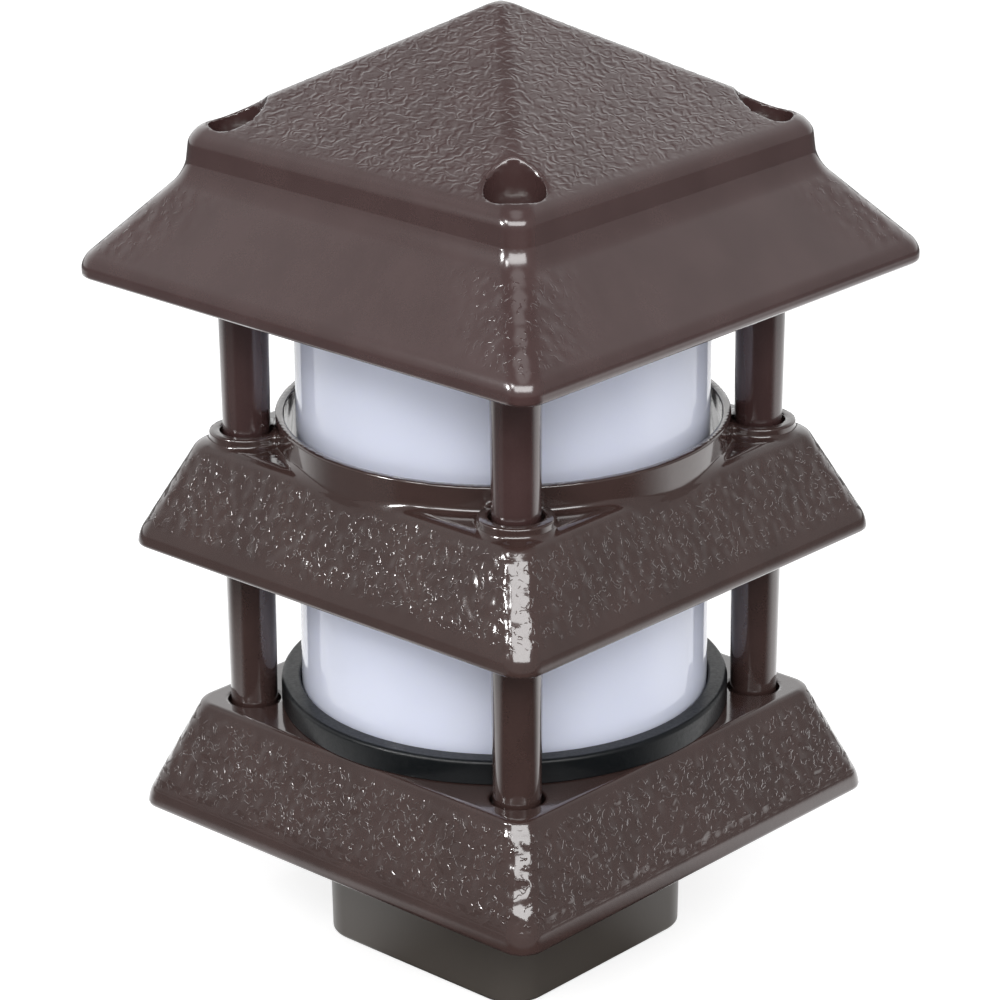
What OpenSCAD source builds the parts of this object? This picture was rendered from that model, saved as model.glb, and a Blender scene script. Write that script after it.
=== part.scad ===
// Three-tier pagoda landscape light on a square mounting hub.
// Millimetres, +Z up, origin at the centre of the hub's bottom face.

/* [Tiers] */
// How far the roof's eave stands out past its upright band
roof_flare = 18.45; // [14:0.05:28]
// Gap between the roof's gasket and the inside of the upright band
band_gap = 0.05; // [0.05:0.05:3]
// How much the upright band leans in over its height
band_lean = 0.95; // [0.4:0.05:2]
// Height of the roof's skirt, from the eave up to the band
roof_skirt_h = 26; // [22:0.1:32]
// Height of the upright band
band_h = 10.2; // [8:0.1:14]
// Rounding of the band's top edge
band_edge_r = 2.2; // [1:0.1:4]
// Hollow rounding between the skirt and the band
band_foot_r = 3; // [1:0.1:4]
// Height from the band's top edge to the point where the hips would meet
hip_h = 31.9; // [26:0.1:38]
// Half width of the small flat where the roof's point is blunted
tip_half = 1.5; // [1:0.1:3]
// Height of the upright lip round the roof's eave
roof_lip = 4.4; // [2.5:0.1:6]
// How far the middle and bottom eaves stand out past the middle tier's flat top
tier_flare = 11.4; // [9:0.1:16]
// Height of the upright lip round the lower eaves
tier_lip = 2.7; // [2:0.1:4]
// Metal left between the collars and the edge of the middle tier's flat top
plate_margin = 0.9; // [0.4:0.1:3]
// Height of the middle tier, from eave to flat top
middle_tier_h = 27.6; // [24:0.1:32]
// How far the bottom tier's flat top stands out past the middle tier's
bottom_margin = 0.9; // [0.4:0.1:2]
// Height of the bottom tier, from eave to flat top
bottom_tier_h = 28.8; // [26:0.1:34]
// Open height between a flat top and the eave above it
light_gap = 43.3; // [36:0.1:55]
// Radius of the upright corners in plan
corner_r = 6; // [5:0.1:8]
// Wall of the castings, measured level
wall = 3.3; // [2.8:0.1:4]
// Thickness of the castings' flat tops
plate_t = 3.5; // [3:0.1:5]

/* [Posts] */
// Gap between the middle tier's ring and the posts
post_clear = 0.7; // [0.5:0.1:3]
// Radius of a post where it leaves the hollow of its tier
post_root_r = 6.4; // [6:0.05:6.6]
// Radius lost in each millimetre of post, so that it draws from its mould
post_draft = 0.0104; // [0.005:0.0005:0.015]
// Depth of the sockets in which the posts' ends stand
socket_depth = 5; // [4:0.1:7]
// Gap round a post's end in its socket
socket_gap = 0.75; // [0.5:0.05:1]
// Wall of the collars round the middle tier's sockets
collar_wall = 2.7; // [2.2:0.1:3]
// Height of the collars above the flat top
collar_h = 2.6; // [1.5:0.1:4]

/* [Tie screws] */
// Radius of the tie screws
tie_r = 2.45; // [2:0.05:2.6]
// Gap round a tie screw where it passes down through the posts
tie_gap = 0.45; // [0.3:0.05:0.6]
// Gap between a tie screw and the thread that holds it
thread_gap = 0.05; // [0.02:0.01:0.08]
// Radius of a tie screw's head
tie_head_r = 4.7; // [4.2:0.1:5.2]
// Height of a tie screw's head
tie_head_h = 3.2; // [2.5:0.1:4]
// Radius of the wells in which the heads sit
well_r = 7.15; // [6.8:0.05:7.4]
// Height of the wells' floors above the band's foot
well_floor_h = 4; // [3:0.1:6]
// Thickness of the sealing washers under the heads
washer_t = 1.2; // [0.8:0.1:2]
// Length of thread in each boss of the bottom tier
thread_len = 11; // [8:0.5:12]

/* [Glass] */
// Outer radius of the glass cylinder
glass_r = 51.9; // [51:0.1:52.4]
// Wall of the glass
glass_wall = 3; // [2.5:0.1:3.5]
// Radius of the ground edges of the glass
glass_edge = 0.8; // [0.4:0.1:1.2]
// Gap between the glass and the rubber or metal round it
glass_gap = 0.3; // [0.2:0.05:0.5]
// Wall of the middle tier's ring
ring_wall = 2.2; // [1.8:0.1:2.8]
// Gap between the glass and the middle tier's ring
ring_gap = 3; // [2:0.1:3.4]
// Height of the ring above the middle tier's flat top
ring_h = 6.9; // [5:0.1:10]
// Thickness of the rubber gasket's wall round the foot of the glass
gasket_wall = 5; // [3:0.1:5.4]
// Height of the rubber gasket above the flat top
gasket_h = 6.3; // [5:0.1:8]
// Thickness of rubber beneath the glass
gasket_floor = 2; // [1.5:0.1:3]
// Thickness of the gasket between glass and roof
roof_gasket_t = 2.5; // [2:0.1:4]
// Depth of the roof's seating ring below the band's foot
seat_drop = 0.5; // [0:0.1:3]

/* [Mounting hub] */
// Side of the hub at its foot
hub_w = 69.5; // [66:0.1:74]
// How far the hub shows below the bottom eave
hub_drop = 38; // [30:0.1:50]
// How much the hub's half side grows in each millimetre of height
hub_draft = 0.0114; // [0.005:0.0005:0.02]
// Radius of the hub's upright corners
hub_corner_r = 9.3; // [8:0.1:12]
// Wall of the hub
hub_wall = 3.4; // [3:0.1:4.5]
// Thickness of the hub's floor
hub_floor = 4; // [3:0.1:6]
// Radius of the hole tapped for a half-inch pipe
pipe_r = 9.7; // [9.4:0.1:10.5]
// Length of the tapped hole
pipe_len = 18; // [14:0.5:24]
// Wall round the tapped hole
pipe_wall = 5; // [4:0.1:7]
// Thickness of the gasket between hub and bottom tier
hub_gasket_t = 1.5; // [1:0.1:2.5]
// Distance of the hub's screws from the inside of its walls
hub_screw_inset = 4.65; // [4.2:0.05:5]
// Radius of the hub's screws
hub_screw_r = 2; // [1.5:0.05:2.2]
// Length of the hub's screws below their heads
hub_screw_len = 18; // [14:0.5:24]

/* [Lampholder] */
// Radius of the porcelain lampholder
holder_r = 19.5; // [18.5:0.1:22]
// Height of the porcelain lampholder
holder_h = 38; // [36:0.5:42]
// Depth of its well, in which the lamp's cap screws
holder_well = 24; // [23.5:0.1:26]
// Radius inside the screw shell
shell_r = 13.5; // [13.4:0.05:13.8]
// Thickness of the screw shell
shell_t = 0.6; // [0.4:0.05:0.8]
// Height of the lampholder's bracket
bracket_h = 9.5; // [8:0.1:14]
// Width of the bracket's strip
bracket_w = 18; // [14:0.5:22]
// Thickness of the bracket's strip
bracket_t = 1.5; // [1:0.1:2]
// Length of the bracket's raised middle
bracket_top_l = 36; // [34:0.5:37]
// Length of each of the bracket's feet
bracket_foot_l = 12; // [10:0.5:13]
// Radius of the small screws in the bracket
small_screw_r = 1.5; // [1.2:0.05:1.7]

/* [Lamp] */
// Length of the lamp from its contact to its dome
lamp_len = 106; // [96:0.5:114]
// Radius of the lamp's dome
lamp_r = 30; // [28:0.5:32]
// Radius of the lamp's screw cap
cap_r = 13.1; // [12.9:0.05:13.2]
// Length of the lamp's screw cap
cap_len = 20; // [18:0.5:24]

/* [Leads] */
// Radius of the leads
lead_r = 1.3; // [1:0.05:1.4]
// Radius of the wire hole in the bottom tier
wire_hole_r = 8; // [7:0.1:9]
// Radius of the mouth of a wire connector
connector_r = 6.4; // [5.5:0.1:7]
// Length of a wire connector
connector_len = 20; // [16:0.5:24]

/* [Hidden] */
$fn = 64;

// Finishes seen on the light
bronze = [0.35, 0.29, 0.28];
dark_bronze = [0.31, 0.30, 0.27];
opal = [0.86, 0.87, 0.92];
black_rubber = [0.13, 0.15, 0.14];
steel = [0.72, 0.72, 0.70];
porcelain = [0.93, 0.92, 0.89];
brass = [0.80, 0.66, 0.38];

// Levels, worked up from the hub's foot
bottom_eave_z = hub_drop;
bottom_plate_z = bottom_eave_z + bottom_tier_h;
middle_eave_z = bottom_plate_z + light_gap;
middle_plate_z = middle_eave_z + middle_tier_h;
roof_eave_z = middle_plate_z + light_gap;
band_low_z = roof_eave_z + roof_skirt_h;
band_top_z = band_low_z + band_h;
hip_apex_z = band_top_z + hip_h;
skirt_top_z = band_low_z - 1;

// Widths, worked outwards from the glass
glass_in_r = glass_r - glass_wall;
seat_lap = 1.3;
ring_in_r = glass_r + ring_gap;
ring_out_r = ring_in_r + ring_wall;
gasket_r = glass_r + glass_gap + gasket_wall;
post_c = (ring_out_r + post_clear + post_root_r) / sqrt(2);
socket_r = post_root_r - light_gap * post_draft + socket_gap;
collar_r = socket_r + collar_wall;
middle_plate_w = 2 * (post_c + collar_r + plate_margin);
bottom_plate_w = middle_plate_w + 2 * bottom_margin;
tier_eave_w = middle_plate_w + 2 * tier_flare;
seat_out_r = glass_r + seat_lap;
band_low_w = 2 * (seat_out_r + band_gap + wall);
band_top_w = band_low_w - 2 * band_lean;
roof_eave_w = band_low_w + 2 * roof_flare;
hip_rise = hip_h / (band_top_w / 2);
tip_z = hip_apex_z - tip_half * hip_rise;

// Sockets, wells and tie screws
bottom_socket_z = bottom_plate_z - socket_depth;
collar_top_z = middle_plate_z + collar_h;
middle_socket_z = collar_top_z - socket_depth;
collar_foot = 1.1;
well_floor_z = band_low_z + well_floor_h;
well_wall = 2.4;
boss_r = well_r + well_wall;
boss_floor = 3;
tie_hole_r = tie_r + tie_gap;
thread_r = tie_r + thread_gap;
tie_boss_r = 8;
tie_end_z = bottom_socket_z - thread_len;

// Seats of the glass
glass_low_z = bottom_plate_z + gasket_floor;
seat_z = band_low_z - seat_drop;
glass_top_z = seat_z - roof_gasket_t;
seat_in_r = glass_in_r - seat_lap;
ring_top_z = middle_plate_z + ring_h;
ring_sink = 8;

// Hub
hub_top_z = bottom_plate_z - plate_t - hub_gasket_t;
hub_top_half = hub_w / 2 + hub_top_z * hub_draft;
hub_screw_c = hub_top_half - hub_wall - hub_screw_inset;
hub_pillar_r = hub_screw_r + 2.6;
hub_head_r = 2 * hub_screw_r;
hub_head_h = 1.3 * hub_screw_r;
screw_clear = 0.2;
screw_bite = 0.05;

// Lampholder, bracket and lamp
bracket_top_z = bottom_plate_z + bracket_h;
holder_top_z = bracket_top_z + holder_h;
holder_floor_z = holder_top_z - holder_well;
lead_x = 7;
holder_screw_x = 12.5;
holder_screw_len = 8;
bracket_screw_x = bracket_top_l / 2 + bracket_foot_l / 2;
bracket_screw_len = plate_t + 3;
small_head_r = 1.9 * small_screw_r;
small_head_h = 1.4 * small_screw_r;
contact_lift = 3;
contact_t = 0.5;
lamp_low_z = holder_floor_z + contact_lift;
tip_drop = 4.2;
cap_low_z = lamp_low_z + tip_drop;
cap_top_z = cap_low_z + cap_len;
lamp_top_z = lamp_low_z + lamp_len;
dome_z = lamp_top_z - lamp_r;
rim_drop = 18;
rim_z = dome_z - rim_drop;
rim_r = lamp_r - 0.5;
rim_wall = 2.5;
board_r = rim_r - rim_wall - 0.6;
lamp_wall = 1.5;
cap_t = 0.4;
cap_mouth = 3.2;
neck_gap = 0.1;
neck_low_z = cap_low_z + 4;
shoulder_h = 4;
flare_h = 10;
tip_disc_r = 4.5;
tip_h = 1.2;
insulator_h = 1.5;

// Leads, grommet and connectors
grommet_lip = 2;
grommet_t = 1.4;
grommet_wall = 3;
grommet_fit = 0.05;
grommet_bore = wire_hole_r - grommet_wall;
lead_ring = 2.6;
lead_fan_x = 8;
lead_fan_drop = 12;
connector_c = 15;
connector_top_z = 46;
ground_y = 22;
lug_r = 3.6;
lug_t = 0.8;

// Facets of the lofted castings
corner_steps = 5;
edge_steps = 3;

// One level outline of a casting: a square with round corners, anticlockwise
function outline(half, r, z) =
    let (c = half - r)
    [
        for (q = [0:3], k = [0:corner_steps])
            let (
                a = 90 * (q + k / corner_steps),
                sx = (q == 0 || q == 3) ? 1 : -1,
                sy = (q < 2) ? 1 : -1
            )
            [sx * c + r * cos(a), sy * c + r * sin(a), z]
    ];

function unit(v) = v / norm(v);

// Points of the arc that rounds the corner b between a and c to radius b[2]
function rounded(a, b, c) =
    let (
        p = [b[0], b[1]],
        u = unit([a[0], a[1]] - p),
        v = unit([c[0], c[1]] - p),
        half_angle = acos(u * v) / 2,
        centre = p + unit(u + v) * b[2] / sin(half_angle),
        first = p + u * b[2] / tan(half_angle) - centre,
        last = p + v * b[2] / tan(half_angle) - centre,
        sweep = 180 - 2 * half_angle
    )
    b[2] == 0 ? [p] : [
        for (k = [0:edge_steps])
            let (t = k / edge_steps)
            centre + (sin((1 - t) * sweep) * first + sin(t * sweep) * last) / sin(sweep)
    ];

// A profile of [half width, level, rounding] points; its two ends only guide the rounding
function soften(points) =
    [for (i = [1:len(points) - 2]) each rounded(points[i - 1], points[i], points[i + 1])];

// Casting body whose level sections are round-cornered squares
module loft(points, r) {
    rings = soften(points);
    per = 4 * (corner_steps + 1);
    last = len(rings) - 1;
    polyhedron(
        points = [for (p = rings) each outline(p[0], min(r, 0.6 * p[0]), p[1])],
        faces = concat(
            [[for (i = [0:per - 1]) i]],
            [
                for (j = [0:last - 1], i = [0:per - 1])
                    let (k = (i + 1) % per)
                    [j * per + i, (j + 1) * per + i, (j + 1) * per + k, j * per + k]
            ],
            [[for (i = [0:per - 1]) last * per + per - 1 - i]]
        )
    );
}

module at_posts() {
    for (sx = [-1, 1], sy = [-1, 1])
        translate([sx * post_c, sy * post_c, 0]) children();
}

module at_hub_screws() {
    for (sx = [-1, 1], sy = [-1, 1])
        translate([sx * hub_screw_c, sy * hub_screw_c, 0]) children();
}

module both_ways(x) {
    for (s = [-1, 1])
        translate([s * x, 0, 0]) children();
}

// Upright cylinder or cone between two levels
module column(r, low, high, r_high = undef) {
    translate([0, 0, low])
        cylinder(h = high - low, r1 = r, r2 = is_undef(r_high) ? r : r_high);
}

// Drafted post that hangs from a tier's hollow to a socket
module post(root_z, eave_z, end_z) {
    column(post_root_r - (eave_z - end_z) * post_draft, end_z, root_z,
        post_root_r + (root_z - eave_z) * post_draft);
}

// Machine screw with its shank below level z, a pan head above it and a cross recess
module pan_screw(r, length, head_r, head_h, z) {
    slot_w = 0.36 * head_r;
    slot_l = 1.1 * head_r;
    slot_d = 0.6 * head_h;
    bevel = 0.3 * head_h;
    difference() {
        union() {
            column(r, z - length + 0.3 * r, z + 0.5 * head_h);
            column(0.7 * r, z - length, z - length + 0.3 * r, r);
            column(head_r, z, z + head_h - bevel);
            column(head_r, z + head_h - bevel, z + head_h, head_r - 1.4 * bevel);
        }
        for (a = [0, 90])
            rotate([0, 0, a])
                translate([-slot_l / 2, -slot_w / 2, z + head_h - slot_d])
                    cube([slot_l, slot_w, 2 * slot_d]);
    }
}

// Skirt and flat top shared by the two lower tiers, open below
module tier_shell(eave_z, plate_z, plate_half, edge_r) {
    eave_half = tier_eave_w / 2;
    difference() {
        loft([
            [0, eave_z],
            [eave_half, eave_z, 0.8],
            [eave_half, eave_z + tier_lip, 1],
            [plate_half, plate_z, edge_r],
            [0, plate_z]
        ], corner_r);
        loft([
            [0, eave_z - 1],
            [eave_half - wall, eave_z - 1, 0],
            [eave_half - wall, eave_z + tier_lip, 1],
            [plate_half - wall, plate_z - plate_t, 1.5],
            [0, plate_z - plate_t]
        ], corner_r - wall);
    }
}

module roof_outside() {
    loft([
        [0, roof_eave_z],
        [roof_eave_w / 2, roof_eave_z, 1],
        [roof_eave_w / 2, roof_eave_z + roof_lip, 1.4],
        [band_low_w / 2, band_low_z, band_foot_r],
        [band_top_w / 2, band_top_z, band_edge_r],
        [tip_half, tip_z, 0.8],
        [0, tip_z]
    ], corner_r);
}

// The roof's hollow, less the metal left standing in it
module roof_hollow() {
    hip_drop = wall * hip_rise;
    difference() {
        loft([
            [0, roof_eave_z - 1],
            [roof_eave_w / 2 - wall, roof_eave_z - 1, 0],
            [roof_eave_w / 2 - wall, roof_eave_z + roof_lip - 1, 1],
            [band_low_w / 2 - wall, band_low_z - 1, band_foot_r],
            [band_top_w / 2 - wall, band_top_z - 1, 0],
            [tip_half + 2, tip_z - wall - hip_drop, 0],
            [0, tip_z - wall - hip_drop]
        ], corner_r - wall);
        at_posts() column(boss_r, well_floor_z - boss_floor, band_top_z + boss_r);
        difference() {
            column(seat_out_r, seat_z, hip_apex_z);
            column(seat_in_r, seat_z - 1, hip_apex_z + 1);
        }
    }
}

// The part of the roof's shell between two levels
module roof_shell(low_z, high_z) {
    half = roof_eave_w / 2 + 1;
    intersection() {
        difference() {
            roof_outside();
            roof_hollow();
        }
        translate([-half, -half, low_z]) cube([2 * half, 2 * half, high_z - low_z]);
    }
}

// Upright band and hips, with the screws' wells and the seat of the glass
module roof() {
    color(bronze)
        difference() {
            roof_shell(skirt_top_z, hip_apex_z);
            at_posts() {
                column(well_r, well_floor_z, hip_apex_z);
                column(tie_hole_r, well_floor_z - boss_floor - 1, well_floor_z + 1);
            }
        }
}

module roof_skirt() {
    color(bronze) roof_shell(roof_eave_z - 1, skirt_top_z);
}

// Posts cast on the bosses under the roof's wells, hollow for the tie screws
module roof_posts() {
    color(bronze)
        at_posts()
            difference() {
                post(well_floor_z - boss_floor, roof_eave_z, middle_socket_z);
                column(tie_hole_r, middle_socket_z - 1, well_floor_z);
            }
}

module middle_tier() {
    color(bronze)
        difference() {
            union() {
                tier_shell(middle_eave_z, middle_plate_z, middle_plate_w / 2, 1.6);
                rotate_extrude($fn = 128)
                    polygon([
                        [ring_in_r - 1, middle_plate_z - ring_sink],
                        [ring_out_r, middle_plate_z - ring_sink],
                        [ring_out_r, ring_top_z - 0.6],
                        [ring_out_r - 0.5, ring_top_z],
                        [ring_in_r - 1, ring_top_z]
                    ]);
                at_posts() {
                    column(collar_r, middle_socket_z - boss_floor, collar_top_z);
                    column(collar_r + collar_foot, middle_plate_z - 0.5,
                        middle_plate_z + collar_foot, collar_r);
                    post(middle_socket_z - boss_floor / 2, middle_eave_z, bottom_socket_z);
                }
            }
            column(ring_in_r, middle_eave_z - 1, ring_top_z + 1);
            at_posts() {
                column(socket_r, middle_socket_z, collar_top_z + 1);
                column(tie_hole_r, bottom_socket_z - 1, collar_top_z);
            }
        }
}

module bottom_tier() {
    boss_low_z = tie_end_z + 2;
    color(bronze)
        difference() {
            union() {
                tier_shell(bottom_eave_z, bottom_plate_z, bottom_plate_w / 2, 0.8);
                at_posts() column(tie_boss_r, boss_low_z, bottom_plate_z - plate_t / 2);
            }
            at_posts() {
                column(socket_r, bottom_socket_z, bottom_plate_z + 1);
                column(thread_r, boss_low_z - 1, bottom_plate_z);
            }
            at_hub_screws()
                column(hub_screw_r + screw_clear, bottom_plate_z - plate_t - 1, bottom_plate_z + 1);
            column(wire_hole_r, bottom_plate_z - plate_t - 1, bottom_plate_z + 1);
            both_ways(bracket_screw_x)
                column(small_screw_r + screw_bite, bottom_plate_z - plate_t - 1, bottom_plate_z + 1);
            translate([0, ground_y, 0])
                column(small_screw_r + screw_bite, bottom_plate_z - plate_t - 1, bottom_plate_z + 1);
        }
}

module mounting_hub() {
    foot_half = hub_w / 2;
    color(dark_bronze)
        difference() {
            union() {
                difference() {
                    loft([
                        [0, 0],
                        [foot_half, 0, 1.4],
                        [hub_top_half, hub_top_z, 0],
                        [0, hub_top_z]
                    ], hub_corner_r);
                    loft([
                        [0, hub_floor],
                        [foot_half - hub_wall, hub_floor, 1.4],
                        [hub_top_half - hub_wall, hub_top_z + 1, 0],
                        [0, hub_top_z + 1]
                    ], hub_corner_r - hub_wall);
                }
                column(pipe_r + pipe_wall, hub_floor / 2, pipe_len);
                at_hub_screws() column(hub_pillar_r, hub_floor / 2, hub_top_z);
            }
            column(pipe_r, -1, pipe_len + 1);
            at_hub_screws() column(hub_screw_r + screw_bite, hub_top_z - hub_screw_len, hub_top_z + 1);
        }
}

module hub_gasket() {
    rim_half = hub_top_half - 0.2;
    inner_half = hub_top_half - hub_wall - 0.4;
    corner = hub_corner_r - 0.2;
    color(black_rubber)
        translate([0, 0, hub_top_z])
            linear_extrude(height = hub_gasket_t)
                difference() {
                    union() {
                        difference() {
                            round_square(rim_half, corner);
                            round_square(inner_half, corner - hub_wall);
                        }
                        at_hub_screws() circle(r = hub_pillar_r);
                    }
                    at_hub_screws() circle(r = hub_screw_r + screw_clear);
                }
}

module round_square(half, r) {
    square([2 * half, 2 * (half - r)], center = true);
    square([2 * (half - r), 2 * half], center = true);
    for (sx = [-1, 1], sy = [-1, 1])
        translate([sx * (half - r), sy * (half - r)]) circle(r = r);
}

module glass_cylinder() {
    color(opal)
        rotate_extrude($fn = 128)
            polygon([
                [glass_in_r, glass_low_z + glass_edge],
                [glass_in_r + glass_edge, glass_low_z],
                [glass_r - glass_edge, glass_low_z],
                [glass_r, glass_low_z + glass_edge],
                [glass_r, glass_top_z - glass_edge],
                [glass_r - glass_edge, glass_top_z],
                [glass_in_r + glass_edge, glass_top_z],
                [glass_in_r, glass_top_z - glass_edge]
            ]);
}

// Rubber ring of L section: the glass stands on its floor, inside its wall
module base_gasket() {
    bead = 0.9;
    top_z = bottom_plate_z + gasket_h;
    color(black_rubber)
        rotate_extrude($fn = 128)
            polygon([
                [seat_in_r, bottom_plate_z],
                [gasket_r, bottom_plate_z],
                [gasket_r, top_z - bead],
                [gasket_r - bead, top_z],
                [glass_r + glass_gap + bead, top_z],
                [glass_r + glass_gap, top_z - bead],
                [glass_r + glass_gap, glass_low_z],
                [seat_in_r, glass_low_z]
            ]);
}

module roof_gasket() {
    color(black_rubber)
        rotate_extrude($fn = 128)
            translate([seat_in_r, glass_top_z])
                square([seat_out_r - seat_in_r, roof_gasket_t]);
}

module tie_screws() {
    seat = well_floor_z + washer_t;
    color(steel)
        at_posts() pan_screw(tie_r, seat - tie_end_z, tie_head_r, tie_head_h, seat);
}

module tie_screw_washers() {
    color(black_rubber)
        at_posts()
            difference() {
                column(tie_head_r + 0.9, well_floor_z, well_floor_z + washer_t);
                column(tie_hole_r, well_floor_z - 1, well_floor_z + washer_t + 1);
            }
}

module hub_screws() {
    color(steel)
        at_hub_screws()
            pan_screw(hub_screw_r, hub_screw_len, hub_head_r, hub_head_h, bottom_plate_z);
}

// Bent steel strip that carries the lampholder over the wire hole
module socket_bracket() {
    top_half = bracket_top_l / 2;
    foot_end = top_half + bracket_foot_l;
    base = bottom_plate_z;
    color(steel)
        difference() {
            rotate([90, 0, 0])
                linear_extrude(height = bracket_w, center = true)
                    polygon([
                        [-foot_end, base],
                        [-top_half + bracket_t, base],
                        [-top_half + bracket_t, bracket_top_z - bracket_t],
                        [top_half - bracket_t, bracket_top_z - bracket_t],
                        [top_half - bracket_t, base],
                        [foot_end, base],
                        [foot_end, base + bracket_t],
                        [top_half, base + bracket_t],
                        [top_half, bracket_top_z],
                        [-top_half, bracket_top_z],
                        [-top_half, base + bracket_t],
                        [-foot_end, base + bracket_t]
                    ]);
            both_ways(bracket_screw_x)
                column(small_screw_r + screw_clear, base - 1, base + 2 * bracket_t);
            both_ways(holder_screw_x)
                column(small_screw_r + screw_clear, base + bracket_t, bracket_top_z + 1);
            both_ways(lead_x)
                column(lead_r + 1, base + bracket_t, bracket_top_z + 1);
        }
}

module bracket_screws() {
    color(steel)
        both_ways(bracket_screw_x)
            pan_screw(small_screw_r, bracket_screw_len + bracket_t, small_head_r, small_head_h,
                bottom_plate_z + bracket_t);
}

module lampholder_body() {
    shoulder = holder_floor_z - 2;
    bore_r = shell_r + shell_t + 0.1;
    color(porcelain)
        difference() {
            rotate_extrude($fn = 96)
                polygon([
                    [0, bracket_top_z],
                    [holder_r - 2, bracket_top_z],
                    [holder_r, bracket_top_z + 2],
                    [holder_r, shoulder],
                    [holder_r - 1.5, shoulder + 3],
                    [holder_r - 1.5, holder_top_z - 1.5],
                    [holder_r - 3, holder_top_z],
                    [bore_r, holder_top_z],
                    [bore_r, holder_floor_z],
                    [0, holder_floor_z]
                ]);
            both_ways(holder_screw_x)
                column(small_screw_r + screw_bite, bracket_top_z - 1, bracket_top_z + holder_screw_len);
            both_ways(lead_x)
                column(lead_r + screw_clear, bracket_top_z - 1, holder_floor_z + 1);
        }
}

// Plated shell with an inward foot on the porcelain and a tab over the neutral lead
module lampholder_shell() {
    outer = shell_r + shell_t;
    tab_w = 4;
    color(brass) {
        translate([1 - outer, -tab_w / 2, holder_floor_z])
            cube([outer - lead_x + lead_r, tab_w, shell_t]);
        rotate_extrude($fn = 96)
            polygon([
                [outer - 2.4, holder_floor_z],
                [outer, holder_floor_z],
                [outer, holder_top_z - 2],
                [shell_r, holder_top_z - 2],
                [shell_r, holder_floor_z + shell_t],
                [outer - 2.4, holder_floor_z + shell_t]
            ]);
    }
}

// Springy brass tongue under the lamp's contact
module lampholder_contact() {
    tongue = 7;
    low = holder_floor_z;
    high = low + contact_lift - 0.1;
    color(brass)
        rotate([90, 0, 0])
            linear_extrude(height = 4, center = true)
                polygon([
                    [-3, low],
                    [tongue + 1.5, low],
                    [tongue + 1.5, low + contact_t],
                    [tongue, low + contact_t + 0.4],
                    [2, high],
                    [-3, high],
                    [-3, high - contact_t],
                    [1.7, high - contact_t],
                    [tongue - 1.4, low + contact_t],
                    [-3, low + contact_t]
                ]);
}

module lampholder_screws() {
    color(steel)
        both_ways(holder_screw_x)
            mirror([0, 0, 1])
                pan_screw(small_screw_r, holder_screw_len - 0.5 + bracket_t,
                    small_head_r * 0.95, small_head_h, bracket_t - bracket_top_z);
}

// Rubber bush with a groove that grips the bottom tier's flat top
module wire_grommet() {
    top = bottom_plate_z;
    low = bottom_plate_z - plate_t;
    color(black_rubber)
        rotate_extrude()
            polygon([
                [grommet_bore, low - grommet_t],
                [wire_hole_r + grommet_lip - 0.7, low - grommet_t],
                [wire_hole_r + grommet_lip, low],
                [wire_hole_r - grommet_fit, low],
                [wire_hole_r - grommet_fit, top],
                [wire_hole_r + grommet_lip, top],
                [wire_hole_r + grommet_lip - 0.7, top + grommet_t],
                [grommet_bore, top + grommet_t]
            ]);
}

// Half outline of a round dome of radius r about level z, from its edge to its top
function dome_arc(r, z) = [for (a = [0:6:90]) [r * cos(a), z + r * sin(a)]];

module lamp_dome() {
    inner = lamp_r - lamp_wall;
    inside = dome_arc(inner, dome_z);
    color(opal)
        rotate_extrude($fn = 96)
            polygon(concat(
                [[rim_r - lamp_wall, rim_z], [rim_r, rim_z]],
                dome_arc(lamp_r, dome_z),
                [for (i = [len(inside) - 1:-1:0]) inside[i]]
            ));
}

module lamp_board() {
    color(steel)
        column(board_r, rim_z - lamp_wall, rim_z - neck_gap);
}

module lamp_housing() {
    neck = cap_r - cap_t - neck_gap;
    color(porcelain)
        rotate_extrude($fn = 96)
            polygon([
                [neck - lamp_wall, neck_low_z],
                [neck, neck_low_z],
                [neck, cap_top_z],
                [cap_r + 1, cap_top_z],
                [cap_r + 2.5, cap_top_z + shoulder_h],
                [rim_r - 1.5, rim_z - flare_h],
                [rim_r, rim_z],
                [rim_r - rim_wall, rim_z],
                [rim_r - rim_wall, rim_z - lamp_wall],
                [rim_r - 2 * rim_wall, rim_z - lamp_wall],
                [rim_r - 2.2 * rim_wall, rim_z - flare_h],
                [cap_r, cap_top_z + shoulder_h + 1],
                [neck - lamp_wall, cap_top_z]
            ]);
}

module lamp_cap() {
    inside = cap_r - cap_t;
    color(steel)
        rotate_extrude($fn = 96)
            polygon([
                [cap_r - cap_mouth, cap_low_z],
                [cap_r - cap_mouth / 2, cap_low_z],
                [cap_r, cap_low_z + 2.5],
                [cap_r, cap_top_z],
                [inside, cap_top_z],
                [inside, cap_low_z + 2.7],
                [cap_r - cap_mouth / 2 - 0.2, cap_low_z + cap_t],
                [cap_r - cap_mouth, cap_low_z + cap_t]
            ]);
}

module lamp_insulator() {
    color("black")
        rotate_extrude()
            polygon([
                [0, lamp_low_z + tip_h],
                [tip_disc_r, lamp_low_z + tip_h],
                [cap_r - cap_mouth, cap_low_z],
                [cap_r - cap_mouth, cap_low_z + insulator_h],
                [0, cap_low_z + insulator_h]
            ]);
}

module lamp_contact() {
    color(brass)
        rotate_extrude()
            polygon([
                [0, lamp_low_z],
                [tip_disc_r - tip_h, lamp_low_z],
                [tip_disc_r, lamp_low_z + tip_h / 2],
                [tip_disc_r, lamp_low_z + tip_h],
                [0, lamp_low_z + tip_h]
            ]);
}

// Smooth curve through hand-chosen points
function spline(p, i, t) =
    let (
        a = p[max(i - 1, 0)],
        b = p[i],
        c = p[i + 1],
        d = p[min(i + 2, len(p) - 1)]
    )
    0.5 * (2 * b + (c - a) * t + (2 * a - 5 * b + 4 * c - d) * t * t
        + (3 * b - a - 3 * c + d) * t * t * t);

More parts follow.
